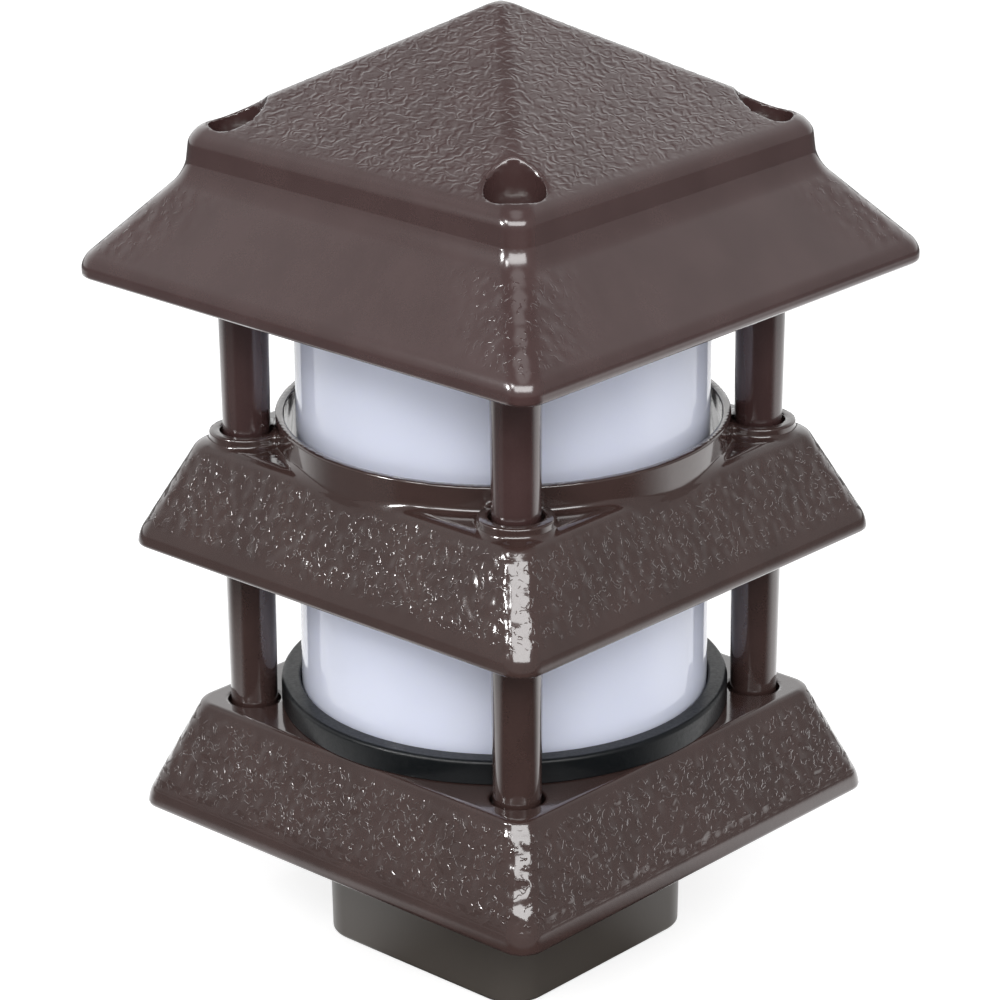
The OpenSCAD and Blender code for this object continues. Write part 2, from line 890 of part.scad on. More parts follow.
function route(p, steps) = [
    for (i = [0:len(p) - 2], k = [0:steps - 1]) spline(p, i, k / steps),
    p[len(p) - 1]
];

// Round lead of eight sides swept along a route that never runs along Y
module lead(points) {
    sides = 8;
    path = route(points, 3);
    last = len(path) - 1;
    rings = [
        for (i = [0:last])
            let (
                along = unit(path[min(i + 1, last)] - path[max(i - 1, 0)]),
                facing = (i == 0) ? unit(points[1] - points[0]) : (i == last) ? [0, 0, -1] : along,
                across = unit(cross([0, 1, 0], facing)),
                up = cross(facing, across)
            )
            for (k = [0:sides - 1])
                path[i] + lead_r * (across * cos(45 * k) + up * sin(45 * k))
    ];
    faces_round = [
        for (i = [0:last - 1], k = [0:sides - 1])
            let (n = (k + 1) % sides, a = i * sides, b = a + sides)
            each [[a + k, b + k, b + n], [a + k, b + n, a + n]]
    ];
    polyhedron(
        points = rings,
        faces = concat(
            [[for (k = [0:sides - 1]) k]],
            faces_round,
            [[for (k = [sides - 1:-1:0]) last * sides + k]]
        )
    );
}

// Points of a lead from the grommet's mouth to its connector
function lead_end(s) = [
    [s * lead_ring, 0, bottom_plate_z - plate_t - 1],
    [s * lead_fan_x, 0, bottom_plate_z - lead_fan_drop],
    [s * connector_c, 0, connector_top_z + 4],
    [s * connector_c, 0, connector_top_z]
];

module socket_lead(s) {
    lead(concat(
        [
            [s * lead_x, 0, holder_floor_z],
            [s * lead_x, 0, bracket_top_z + 1],
            [s * lead_x, 0, bracket_top_z - 2.5],
            [s * lead_ring, 0, bottom_plate_z + 1]
        ],
        lead_end(s)
    ));
}

module line_lead() {
    color("black") socket_lead(1);
}

module neutral_lead() {
    color("white") socket_lead(-1);
}

// The ground lead ends in a flat lug under its screw, lying on the lug's tongue
module ground_lead() {
    lie_z = bottom_plate_z + lug_t + lead_r - 0.3;
    over_z = bottom_plate_z + grommet_t + lead_r + 1.2;
    tongue_end = ground_y - lug_r - 4.5;
    tongue_half = 0.8 * lead_r;
    color("green")
        union() {
            difference() {
                union() {
                    translate([0, ground_y, 0])
                        column(lug_r, bottom_plate_z, bottom_plate_z + lug_t);
                    translate([-tongue_half, tongue_end, bottom_plate_z])
                        cube([2 * tongue_half, ground_y - lug_r + 0.5 - tongue_end, lug_t]);
                }
                translate([0, ground_y, 0])
                    column(small_screw_r + screw_clear, bottom_plate_z - 1, bottom_plate_z + 2);
            }
            rotate([0, 0, 90])
                lead(concat(
                    [
                        [ground_y - lug_r - 0.4, 0, lie_z],
                        [ground_y - lug_r - 4.2, 0, lie_z],
                        [wire_hole_r + 2.2, 0, over_z - 0.6],
                        [wire_hole_r - 1.4, 0, over_z],
                        [lead_ring + 1.3, 0, over_z - 0.9],
                        [lead_ring, 0, bottom_plate_z + 0.4]
                    ],
                    lead_end(1)
                ));
        }
}

module wire_connectors() {
    low_z = connector_top_z - connector_len;
    places = [[connector_c, 0, 0], [-connector_c, 0, 0], [0, connector_c, 0]];
    color("darkorange")
        for (p = places)
            translate(p)
                rotate_extrude()
                    polygon([
                        [0, low_z],
                        [connector_r - 3, low_z],
                        [connector_r - 2, low_z + 1],
                        [connector_r - 0.7, connector_top_z - 6],
                        [connector_r, connector_top_z - 5],
                        [connector_r, connector_top_z],
                        [0, connector_top_z]
                    ]);
}

module ground_screw() {
    color("limegreen")
        translate([0, ground_y, 0])
            pan_screw(small_screw_r, bracket_screw_len, small_head_r, small_head_h,
                bottom_plate_z + lug_t);
}

roof();
roof_skirt();
roof_posts();
middle_tier();
bottom_tier();
mounting_hub();
glass_cylinder();
base_gasket();
roof_gasket();
hub_gasket();
tie_screws();
tie_screw_washers();
hub_screws();
socket_bracket();
bracket_screws();
lampholder_body();
lampholder_shell();
lampholder_contact();
lampholder_screws();
wire_grommet();
lamp_dome();
lamp_board();
lamp_housing();
lamp_cap();
lamp_insulator();
lamp_contact();
line_lead();
neutral_lead();
ground_lead();
wire_connectors();
ground_screw();
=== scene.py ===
# %% [markdown]
# # A three-tier garden light, dressed around its construction model
#
# The real light is a stack of aluminium castings in a bronze powder coat: a roof, a middle tier and a bottom
# tier on slim posts, round an opal glass cylinder, on a square hub. The construction model gives every piece
# its size and place. This script gives each piece its true form and finish, and leaves those sizes alone.

# %% Load the construction model
import math

import bpy
import numpy as np
from mathutils import Matrix, Vector


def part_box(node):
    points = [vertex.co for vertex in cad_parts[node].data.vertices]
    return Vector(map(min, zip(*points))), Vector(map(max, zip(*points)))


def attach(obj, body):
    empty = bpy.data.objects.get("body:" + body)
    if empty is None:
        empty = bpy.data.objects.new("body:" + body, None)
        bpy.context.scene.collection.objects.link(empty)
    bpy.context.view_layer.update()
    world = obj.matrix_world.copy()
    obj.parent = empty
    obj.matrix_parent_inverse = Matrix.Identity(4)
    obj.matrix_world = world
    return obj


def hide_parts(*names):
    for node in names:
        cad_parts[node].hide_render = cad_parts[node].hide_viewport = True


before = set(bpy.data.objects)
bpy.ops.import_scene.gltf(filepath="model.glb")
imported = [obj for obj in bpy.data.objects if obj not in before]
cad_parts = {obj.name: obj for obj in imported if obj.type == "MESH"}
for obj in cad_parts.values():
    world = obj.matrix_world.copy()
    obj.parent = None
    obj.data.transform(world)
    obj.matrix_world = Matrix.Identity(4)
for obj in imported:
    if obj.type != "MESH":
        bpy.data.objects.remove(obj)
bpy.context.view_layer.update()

print("pieces in the frame:", len(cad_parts))

# %% [markdown]
# ## Lengths
#
# Blender works in metres, and a drawing of a light this small is read in millimetres. All lengths here are
# written in millimetres, and a mesh is turned to metres at the moment it is made. `span` and `levels` read a
# piece's place from the frame, so that nothing is typed twice.

# %% Millimetres in, metres out
MM = 0.001


def span(node):
    """Lowest and highest corner of a piece of the frame, in millimetres."""
    low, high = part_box(node)
    return np.array(low) / MM, np.array(high) / MM


def levels(node):
    """Lowest and highest level of a piece of the frame, in millimetres."""
    low, high = span(node)
    return float(low[2]), float(high[2])


light_top = levels("roof")[1]
print("the light is", round(light_top, 2), "mm high")

# %% [markdown]
# ## The camera
#
# The photograph looks at the light's front corner from a little above, through a long lens: the edges hardly
# converge. A camera fitted to the corners of the tiers gives the angles and the distance. It could also be
# aimed with a Track To constraint, but writing out its own three directions keeps the small roll of the
# picture. `direction` counts its angles from the camera's side, and the studio's lights use it too.

# %% Camera
camera_turn = math.radians(42.407)
camera_lift = 21.064
camera_roll = math.radians(-0.317)
camera_distance = 988.0
camera_aside = -0.89
camera_down = -57.48
aim_below_top = 67.24
lens = 143.96


def direction(turn, lift=0.0):
    """The way out from the light, turn degrees round from the camera's side and lift degrees up."""
    a, e = camera_turn + math.radians(turn), math.radians(lift)
    return Vector((math.sin(a) * math.cos(e), -math.cos(a) * math.cos(e), math.sin(e)))


across = Vector((math.cos(camera_turn), math.sin(camera_turn), 0))
back = direction(0, camera_lift)
upward = back.cross(across)
aim = Vector((0, 0, light_top - aim_below_top))
camera_place = across * camera_aside + upward * camera_down + back * camera_distance + aim

camera = bpy.data.objects.new("camera", bpy.data.cameras.new("camera"))
camera.data.lens = lens
camera.matrix_world = (
    Matrix.Translation(camera_place * MM)
    @ Matrix((across, upward, back)).transposed().to_4x4()
    @ Matrix.Rotation(camera_roll, 4, "Z")
)
bpy.context.scene.collection.objects.link(camera)
bpy.context.scene.camera = camera
bpy.context.scene.view_settings.view_transform = "Standard"
print("camera stands at", [round(v, 1) for v in camera_place])

# %% [markdown]
# ## Two small helpers
#
# Paint makers give colours as hex values in sRGB, and shaders work in linear light, so one function turns
# the one into the other. A second function adds a node: what it is given for a socket is either a value or
# another node's output, and outputs are linked.

# %% Colours and nodes


def hex_colour(code, alpha=1.0):
    """Linear colour of an sRGB hex value."""
    parts = [int(code[i:i + 2], 16) / 255 for i in (1, 3, 5)]
    linear = [p / 12.92 if p <= 0.04045 else ((p + 0.055) / 1.055) ** 2.4 for p in parts]
    return (*linear, alpha)


def add(tree, kind, inputs=(), out=0, **settings):
    """Adds a node with its settings, values and links, and returns one of its outputs."""
    node = tree.nodes.new(kind)
    for name, value in settings.items():
        setattr(node, name, value)
    for key, value in dict(inputs).items():
        if isinstance(value, bpy.types.NodeSocket):
            tree.links.new(value, node.inputs[key])
        else:
            node.inputs[key].default_value = value
    return node.outputs[out] if len(node.outputs) else node


def new_material(name):
    """An empty material with its node tree."""
    material = bpy.data.materials.new(name)
    material.use_nodes = True
    material.node_tree.nodes.clear()
    return material, material.node_tree


def finish_with(tree, surface):
    """Ends a material's tree with what its surface is."""
    add(tree, "ShaderNodeOutputMaterial", {"Surface": surface})


print("white is", hex_colour("#FFFFFF"))

# %% [markdown]
# ## The bronze coat
#
# The castings are sprayed with a bronze polyester powder and baked. The coat is a dielectric: its brown lies
# under a clear skin, so highlights are white. The roof's skin is satin, and that of the tiers is glossy.
# Under it the casting shows: the roof's hips were cast from a pattern with a leather grain, and the skirts
# of the lower tiers have fine curled ridges that glitter, on slow waves. The roof's skirt has only a trace
# of them by its corners.
#
# A picture of a surface could be wrapped round the tiers, but a pattern worked out in the shader from the
# place on the piece has no seams and no limit of detail. Where each grain lies is painted on the mesh as an
# attribute, so that plates, bands and edges stay smooth, as they do on the castings.

# %% Grains of the castings
grain_width = 2.1
ridge_spacing, ridge_depth = 2.0, 0.08
ridge_break = 1.6


def wrinkles(tree, place, spacing, half_width):
    """Height of wandering ridges, from 0 between them to 1 along their tops."""
    noise = add(tree, "ShaderNodeTexNoise", {
        "Vector": place, "Scale": 1 / (spacing * MM), "Detail": 0.0, "Distortion": 0.8,
    })
    off_top = add(tree, "ShaderNodeMath", {0: noise, 1: 0.5}, operation="SUBTRACT")
    return add(tree, "ShaderNodeMapRange", {
        0: add(tree, "ShaderNodeMath", {0: off_top}, operation="ABSOLUTE"), 1: half_width, 2: 0.0,
    }, interpolation_type="SMOOTHSTEP")


def curled_ridges(tree, place):
    """Height of short curled ridges: wrinkles that are broken off at random."""
    gaps = add(tree, "ShaderNodeTexNoise", {"Vector": place, "Scale": 1 / (ridge_break * MM), "Detail": 0.0})
    broken = add(tree, "ShaderNodeMapRange", {0: gaps, 1: 0.47, 2: 0.62}, interpolation_type="SMOOTHSTEP")
    return add(tree, "ShaderNodeMath", {
        0: wrinkles(tree, place, ridge_spacing, 0.07), 1: broken,
    }, operation="MULTIPLY")


def leather(tree, place):
    """Height of a leather grain whose wrinkles run level round the hips."""
    level = add(tree, "ShaderNodeVectorMath", {0: place, 1: (0.7, 0.7, 1.9)}, operation="MULTIPLY")
    return wrinkles(tree, level, grain_width, 0.3)


print("grain", grain_width, "mm wide, ridges", ridge_spacing, "mm apart")

# %% Bronze powder coat on cast aluminium
cloud_width, speck_width = 14.0, 0.5
wave_width, wave_depth = 3.0, 0.42
peel_width, peel_depth = 1.6, 0.012


def bronze_coat(name, tones, clear_roughness, grain_depth):
    """Bronze polyester powder over a grained casting: white highlights, soft mottling, level colour."""
    material, tree = new_material(name)
    place = add(tree, "ShaderNodeTexCoord", out="Object")
    grain_area = add(tree, "ShaderNodeAttribute", out="Fac", attribute_name="leather_grain")
    ridge_area = add(tree, "ShaderNodeAttribute", out="Fac", attribute_name="curled_ridges")
    cloud = add(tree, "ShaderNodeTexNoise", {"Vector": place, "Scale": 1 / (cloud_width * MM), "Detail": 3.0})
    speck = add(tree, "ShaderNodeTexNoise", {"Vector": place, "Scale": 1 / (speck_width * MM), "Detail": 1.0})
    shade = add(tree, "ShaderNodeMath", {0: speck, 1: 0.3, 2: cloud}, operation="MULTIPLY_ADD")
    colour = add(tree, "ShaderNodeMix", {
        0: add(tree, "ShaderNodeMapRange", {0: shade, 1: 0.5, 2: 0.8}),
        6: hex_colour(tones[0]),
        7: hex_colour(tones[1]),
    }, out=2, data_type="RGBA")
    wave = add(tree, "ShaderNodeTexNoise", {"Vector": place, "Scale": 1 / (wave_width * MM), "Detail": 0.0})
    bump = None
    for height, area, depth in (
        (leather(tree, place), grain_area, grain_depth),
        (wave, ridge_area, wave_depth),
        (curled_ridges(tree, place), ridge_area, ridge_depth),
    ):
        painted = add(tree, "ShaderNodeMath", {0: height, 1: area}, operation="MULTIPLY")
        under = {"Normal": bump} if bump else {}
        bump = add(tree, "ShaderNodeBump", {"Distance": depth * MM, "Height": painted, **under})
    peel = add(tree, "ShaderNodeTexNoise", {"Vector": place, "Scale": 1 / (peel_width * MM), "Detail": 1.0})
    bump = add(tree, "ShaderNodeBump", {"Distance": peel_depth * MM, "Height": peel, "Normal": bump})
    finish_with(tree, add(tree, "ShaderNodeBsdfPrincipled", {
        "Base Color": colour,
        "Roughness": add(tree, "ShaderNodeMapRange", {0: grain_area, 3: 0.15, 4: 0.3}),
        "IOR": 1.6,
        "Coat Weight": 1.0,
        "Coat Roughness": clear_roughness,
        "Normal": bump,
        "Coat Normal": bump,
    }))
    return material


bronze = bronze_coat("bronze polyester powder coat, gloss", ("#3E2E2B", "#443330"), 0.06, 0.12)
roof_bronze = bronze_coat("bronze polyester powder coat, satin", ("#432F2E", "#493534"), 0.2, 0.11)
print("made", bronze.name, "and", roof_bronze.name)

# %% [markdown]
# ## The hub's coat
#
# The hub comes from another mould and another batch: its coat is smoother, greyer and a little duller.

# %% Olive bronze powder coat
hub_cloud_width = 16.0
hub_peel_width, hub_peel_depth = 1.1, 0.02


def plain_coat():
    """Satin olive-bronze polyester powder: level, slightly dull, a fine orange peel."""
    material, tree = new_material("olive bronze polyester powder coat, satin")
    place = add(tree, "ShaderNodeTexCoord", out="Object")
    cloud = add(tree, "ShaderNodeTexNoise", {
        "Vector": place, "Scale": 1 / (hub_cloud_width * MM), "Detail": 3.0,
    })
    colour = add(tree, "ShaderNodeMix", {
        0: cloud, 6: hex_colour("#534D48"), 7: hex_colour("#59534D"),
    }, out=2, data_type="RGBA")
    peel = add(tree, "ShaderNodeTexNoise", {
        "Vector": place, "Scale": 1 / (hub_peel_width * MM), "Detail": 2.0,
    })
    bump = add(tree, "ShaderNodeBump", {"Distance": hub_peel_depth * MM, "Height": peel})
    finish_with(tree, add(tree, "ShaderNodeBsdfPrincipled", {
        "Base Color": colour, "Roughness": 0.32, "IOR": 1.55, "Normal": bump,
    }))
    return material


hub_coat = plain_coat()
print("made", hub_coat.name)

# %% [markdown]
# ## Opal glass
#
# Opal glass is clear glass with a fine white powder melted in. Light goes in, scatters and comes out close
# by, so it looks soft and faintly blue, under a polished skin. Subsurface scattering with a short reach
# gives that.

# %% Opal glass
milk_cloud_width = 40.0
draw_wave_width, draw_wave_depth = 25.0, 0.03
milk_reach = 2.0


def opal_glass():
    """Opal glass, drawn and fire polished: milky white, a trace of blue, sharp reflections."""
    material, tree = new_material("opal glass, fire polished")
    place = add(tree, "ShaderNodeTexCoord", out="Object")
    cloud = add(tree, "ShaderNodeTexNoise", {
        "Vector": place, "Scale": 1 / (milk_cloud_width * MM), "Detail": 2.0,
    })
    colour = add(tree, "ShaderNodeMix", {
        0: cloud, 6: hex_colour("#E0E5FA"), 7: hex_colour("#E6EAFD"),
    }, out=2, data_type="RGBA")
    wave = add(tree, "ShaderNodeTexNoise", {
        "Vector": place, "Scale": 1 / (draw_wave_width * MM), "Detail": 1.0,
    })
    bump = add(tree, "ShaderNodeBump", {"Distance": draw_wave_depth * MM, "Height": wave})
    finish_with(tree, add(tree, "ShaderNodeBsdfPrincipled", {
        "Base Color": colour,
        "Roughness": 0.06,
        "IOR": 1.5,
        "Subsurface Weight": 0.35,
        "Subsurface Radius": (1.0, 1.0, 1.1),
        "Subsurface Scale": milk_reach * MM,
        "Normal": bump,
    }))
    return material


glass_white = opal_glass()
print("made", glass_white.name)

# %% [markdown]
# ## The plainer finishes
#
# Rubber, steel, brass, porcelain and moulded plastic differ in colour, gloss and whether they are metal, and
# each has a little mottling of its own. One function holds what they share, and each finish is called with
# the values that its own material has: how far its two tones lie apart, how large its mottling is and how
# deep its bumps are.

# %% One function for the plainer finishes


def plain_finish(name, tones, roughness, grain=2.0, depth=0.01, metal=0.0, index=None, stretch=(1, 1, 1)):
    """A finish with two close tones, uneven gloss and a fine bump; grain and depth are in millimetres."""
    material, tree = new_material(name)
    place = add(tree, "ShaderNodeTexCoord", out="Object")
    drawn = add(tree, "ShaderNodeMapping", {"Vector": place, "Scale": stretch})
    mottle = add(tree, "ShaderNodeTexNoise", {"Vector": drawn, "Scale": 1 / (grain * MM), "Detail": 4.0})
    cloud = add(tree, "ShaderNodeTexNoise", {"Vector": place, "Scale": 1 / (6 * grain * MM), "Detail": 2.0})
    colour = add(tree, "ShaderNodeMix", {
        0: cloud, 6: hex_colour(tones[0]), 7: hex_colour(tones[1]),
    }, out=2, data_type="RGBA")
    dull = add(tree, "ShaderNodeMapRange", {
        0: mottle, 1: 0.3, 2: 0.7, 3: roughness * 0.8, 4: roughness * 1.2,
    })
    bump = add(tree, "ShaderNodeBump", {"Distance": depth * MM, "Height": mottle})
    sockets = {"Base Color": colour, "Roughness": dull, "Metallic": metal, "Normal": bump}
    if index:
        sockets["IOR"] = index
    finish_with(tree, add(tree, "ShaderNodeBsdfPrincipled", sockets))
    return material


print("plain finishes take two tones each")

# %% The light's rubber, metal, porcelain and plastic
# Moulded EPDM rubber: near black, a faint cool bloom, a soft sheen
seal_rubber = plain_finish("EPDM rubber, moulded", ("#0A0D10", "#101417"), 0.38, 0.8, 0.03, index=1.45)
# Zinc on steel: bluish silver with faint crystals
zinc_steel = plain_finish("steel, bright zinc plated", ("#B4B6B4", "#C8C9C4"), 0.3, 1.2, 0.008, metal=1.0)
# Stainless steel screws: clean grey, turned
stainless = plain_finish("stainless steel, turned", ("#A9A8A3", "#BDBBB5"), 0.24, 0.6, 0.006, metal=1.0)
# Glazed porcelain: warm white under a thick clear glaze
porcelain = plain_finish("porcelain, glazed", ("#E6E1D4", "#EFEBE0"), 0.12, 5.0, 0.02, index=1.55)
# Rolled brass strip: yellow, slightly tarnished
brass = plain_finish("brass, rolled", ("#B8934E", "#CDAA63"), 0.28, 1.5, 0.006, metal=1.0)
# Nickel on brass: warm silver, bright
nickel = plain_finish("nickel plate on brass", ("#BEB7A8", "#D0CABC"), 0.18, 1.5, 0.005, metal=1.0)
# Opal polycarbonate: soft white, satin
opal_plastic = plain_finish(
    "opal polycarbonate, frosted", ("#E9E9E6", "#F1F1EE"), 0.45, 1.0, 0.01, index=1.58,
)
# Glass-filled PBT: white, fine moulded grain
white_plastic = plain_finish("glass-filled PBT, moulded", ("#DEDEDA", "#E8E8E4"), 0.4, 0.7, 0.02, index=1.57)
# Aluminium board under white solder mask
board_metal = plain_finish("aluminium board, white mask", ("#D9DAD4", "#E4E5DF"), 0.35, 1.0, 0.004, index=1.5)
# Black glass bead round the lamp's contact
black_glass = plain_finish("vitrified black glass", ("#141313", "#1D1B1A"), 0.12, 1.2, 0.02, index=1.52)
# PVC on the leads: one colour each, smooth
black_lead = plain_finish("PVC lead, black", ("#1B1B1C", "#242425"), 0.38, 0.6, 0.01, index=1.53)
white_lead = plain_finish("PVC lead, white", ("#D6D5CF", "#E2E1DB"), 0.38, 0.6, 0.01, index=1.53)
green_lead = plain_finish("PVC lead, green", ("#1F5B34", "#27683D"), 0.38, 0.6, 0.01, index=1.53)
# Polypropylene connectors: orange, a little waxy
connector_orange = plain_finish(
    "polypropylene, moulded orange", ("#C9591C", "#D66526"), 0.4, 0.7, 0.015, index=1.49,
)
# Green chromate on the steel ground screw: dull green, faintly crystalline
green_zinc = plain_finish("steel, green chromate", ("#4C7A4A", "#5C8C58"), 0.32, 0.8, 0.008, metal=1.0)
print("made", len(bpy.data.materials), "materials")

# %% [markdown]
# ## How the castings are meshed
#
# A casting has no sharp corner: molten metal flows round fillets, and the edges of the mould are worn round.
# Adding bevels to a box model fails where ring, collar, plate and skirt meet, because so many edges run
# together. So each casting is written as a field: a function that says how far a point is from the metal,
# below zero inside it. Fields are joined with a hollow fillet or trimmed with a round edge in one call each,
# whatever meets there.
#
# `reach` is the plan of every tier: a square with round corners. `slant` is a wall that leans.

# %% Fields: the plan, a leaning wall, a fillet and a round edge


def reach(x, y, corner):
    """Half side of the round-cornered square that passes through a point."""
    a, b = np.abs(x), np.abs(y)
    apart = np.minimum(np.abs(a - b), corner)
    rounded = corner + (a + b - np.sqrt(2 * corner * corner - apart * apart)) / 2
    return np.where(np.abs(a - b) >= corner, np.maximum(a, b), rounded)


def slant(half, z, low, high):
    """Distance past the wall through two points, each of half side and level."""
    run, rise = high[0] - low[0], high[1] - low[1]
    return ((half - low[0]) * rise - (z - low[1]) * run) / math.hypot(run, rise)


def join(a, b, fillet):
    """Two bodies as one, with a hollow fillet where they meet."""
    corner = np.hypot(np.maximum(fillet - a, 0), np.maximum(fillet - b, 0))
    return np.maximum(fillet, np.minimum(a, b)) - corner


def trim(a, b, edge):
    """What two bodies share, with its edge rounded."""
    corner = np.hypot(np.maximum(edge + a, 0), np.maximum(edge + b, 0))
    return np.minimum(-edge, np.maximum(a, b)) + corner


print("corner of a 20 mm square, rounded by 5:", round(float(reach(8.5, 8.5, 5.0)), 3))

# %% [markdown]
# The field is sampled on a grid whose lines lie close together where there is detail and far apart where
# there is none. Each grid cell that the surface crosses gets one point, and each grid edge that it crosses
# gets one face between the four cells round it. This is known as a surface net, and it is closed by its
# nature. Then every point is moved along the field's slope until it lies on the surface, and the same slope
# is its exact normal.

# %% Grid lines


def mirrored_lines(stops):
    """Grid lines either side of 0; each stop is where a stretch ends and how far apart its lines are."""
    lines = climbing_lines(0.0, stops)
    return np.concatenate([-lines[:0:-1], lines])


def climbing_lines(start, stops):
    """Grid lines from start upwards through the stops."""
    lines = [np.array([start])]
    for end, gap in stops:
        steps = max(1, math.ceil((end - start) / gap))
        lines.append(start + (end - start) * np.arange(1, steps + 1) / steps)
        start = end
    return np.concatenate(lines)


print("lines 0.5 apart up to 1, then 1 apart up to 3:", mirrored_lines([(1, 0.5), (3, 1.0)]))

# %% Surface net


def crossings(values, lines, axis):
    """Where the surface cuts the grid's edges along one axis: indices, places, and which end is inside."""
    low = np.take(values, range(values.shape[axis] - 1), axis)
    high = np.take(values, range(1, values.shape[axis]), axis)
    at = np.nonzero((low < 0) != (high < 0))
    share = low[at] / (low[at] - high[at])
    place = [lines[k][at[k]] for k in range(3)]
    place[axis] = place[axis] + share * (lines[axis][at[axis] + 1] - place[axis])
    return at, np.stack(place, -1), low[at] < 0


def cells_round(at, axis):
    """The four grid cells round each of these edges, in turn."""
    u, v = (axis + 1) % 3, (axis + 2) % 3
    for s, t in ((1, 1), (0, 1), (0, 0), (1, 0)):
        cell = list(at)
        cell[u] = at[u] - s
        cell[v] = at[v] - t
        yield tuple(cell)


def surface_net(field, lines):
    """Points and four-sided faces of the surface where a field is zero."""
    values = field(*np.meshgrid(*lines, indexing="ij"))
    cells = tuple(n - 1 for n in values.shape)
    total, count = np.zeros(cells + (3,)), np.zeros(cells, int)
    cuts = [crossings(values, lines, axis) for axis in range(3)]
    for axis, (at, place, _) in enumerate(cuts):
        for cell in cells_round(at, axis):
            np.add.at(total, cell, place)
            np.add.at(count, cell, 1)
    used = count > 0
    index = np.full(cells, -1)
    index[used] = np.arange(used.sum())
    faces = []
    for axis, (at, _, inside) in enumerate(cuts):
        quads = np.stack([index[cell] for cell in cells_round(at, axis)], -1)
        quads[~inside] = quads[~inside][:, ::-1]
        faces.append(quads)
    return total[used] / count[used][:, None], np.concatenate(faces)


ball_lines = mirrored_lines([(6, 1.0)])
ball_points, ball_faces = surface_net(lambda x, y, z: np.sqrt(x * x + y * y + z * z) - 5, (ball_lines,) * 3)
print("a 10 mm ball on 1 mm cells:", len(ball_points), "points,", len(ball_faces), "faces")

# %% Points onto the surface
least_slope, near_enough = 0.2, 0.02


def value_and_slope(field, points, step=0.02):
    """A field and its slope at some points."""
    slope = np.empty_like(points)
    for k in range(3):
        move = np.zeros(3)
        move[k] = step
        slope[:, k] = (field(*(points + move).T) - field(*(points - move).T)) / (2 * step)
    return field(*points.T), slope


def settle(field, points):
    """Points moved onto the surface, and the normals there."""
    for _ in range(3):
        value, slope = value_and_slope(field, points)
        points = points - (value / np.maximum((slope ** 2).sum(1), least_slope))[:, None] * slope
    value, slope = value_and_slope(field, points)
    off = np.abs(value) > near_enough
    print("points more than", near_enough, "mm off the surface:", int(off.sum()), "of", len(points))
    return points, slope / np.linalg.norm(slope, axis=1)[:, None]


print("points count as settled within", near_enough, "mm")

# %% A mesh object from points


def new_object(name, points, faces=(), material=None, edges=()):
    """A mesh object at the origin, its points given in millimetres."""
    mesh = bpy.data.meshes.new(name)
    mesh.from_pydata((np.asarray(points) * MM).tolist(), edges, faces)
    if material:
        mesh.materials.append(material)
    piece = bpy.data.objects.new(name, mesh)
    bpy.context.scene.collection.objects.link(piece)
    return piece


def cast(name, field, lines, material, paint=None):
    """A casting made from its field; paint gives the share of each grain at every point."""
    points, faces = surface_net(field, lines)
    points, normals = settle(field, points)
    piece = new_object(name, points, faces.tolist(), material)
    mesh = piece.data
    mesh.shade_smooth()
    mesh.normals_split_custom_set_from_vertices(normals.tolist())
    for grain, shares in (paint(points, normals) if paint else {}).items():
        layer = mesh.attributes.new(grain, "FLOAT", "POINT")
        layer.data.foreach_set("value", shares.astype(np.float32))
    print(name, "has", 2 * len(faces), "triangles")
    return piece


def ease(value, low, high):
    """0 below low, 1 above high, smooth between."""
    t = np.clip((value - low) / (high - low), 0, 1)
    return t * t * (3 - 2 * t)


def by_corners(x, y, fade):
    """1 where the plan's corners are, 0 from this far off their diagonals."""
    return ease(-np.abs(np.abs(x) - np.abs(y)), -fade, -2.0)


print("a quarter of the way up, a smooth step has risen to", ease(0.25, 0, 1))

# %% [markdown]
# ## The sizes that the castings share
#
# The frame gives the outer sizes, levels and ends. The walls, fillets and clearances are the founder's own,
# and are written here once.

# %% Sizes of the castings
wall = 3.3
plate_t = 3.5
corner_r = 6.0
roof_lip = 4.4
tier_lip = 2.7
post_root_r = 6.4
post_draft = 0.0104
socket_depth = 5.0
socket_gap = 0.75
tie_hole_r = 2.9
collar_h = 2.6
boss_floor = 3.0

roof_low, roof_high = span("roof_posts")[0], np.maximum(span("roof_skirt")[1], span("roof")[1])
middle_low, middle_high = span("middle_tier")
bottom_low, bottom_high = span("bottom_tier")
hub_high = span("mounting_hub")[1]
glass_low, glass_high = span("glass_cylinder")
gasket_high = span("base_gasket")[1]
washer_low, washer_high = span("tie_screw_washers")

light_gap = 43.3
bottom_eave, bottom_plate = bottom_low[2], bottom_high[2]
middle_eave = bottom_plate + light_gap
middle_plate = roof_low[2] + socket_depth - collar_h
roof_eave = middle_plate + light_gap
washer_r = 5.6
post_c = washer_high[0] - washer_r
socket_r = post_root_r - light_gap * post_draft + socket_gap
print("posts stand at", round(post_c, 2), "and the roof's eave at", round(roof_eave, 1))

# %% [markdown]
# ## Posts
#
# Four posts hang from the roof and four from the middle tier, cast on, thinner towards their ends so that
# they leave the mould. `from_posts` measures from the nearest post's axis, since the tiers are the same on
# all corners.

# %% Posts and sockets


def from_posts(x, y):
    """Distance from the nearest corner's post axis."""
    return np.hypot(np.abs(x) - post_c, np.abs(y) - post_c)


def post(d, z, end, eave, root):
    """A drafted post from its end in a socket up to its root in a tier."""
    side = d - (post_root_r + (z - eave) * post_draft)
    return np.maximum(trim(side, end - z, 0.6), z - root)


print("a post is", round(2 * post_root_r, 1), "mm thick at its root")

# %% [markdown]
# ## The roof
#
# The roof is one casting: a flared skirt with an upright lip at the eave, an upright band, four low hips
# that meet in a blunt point, and a screw well near each corner. It is hollow: inside are the bosses under
# the wells and the ring that presses on the glass. The hips' ridges are soft, so the corner radius falls
# from the band to the point.

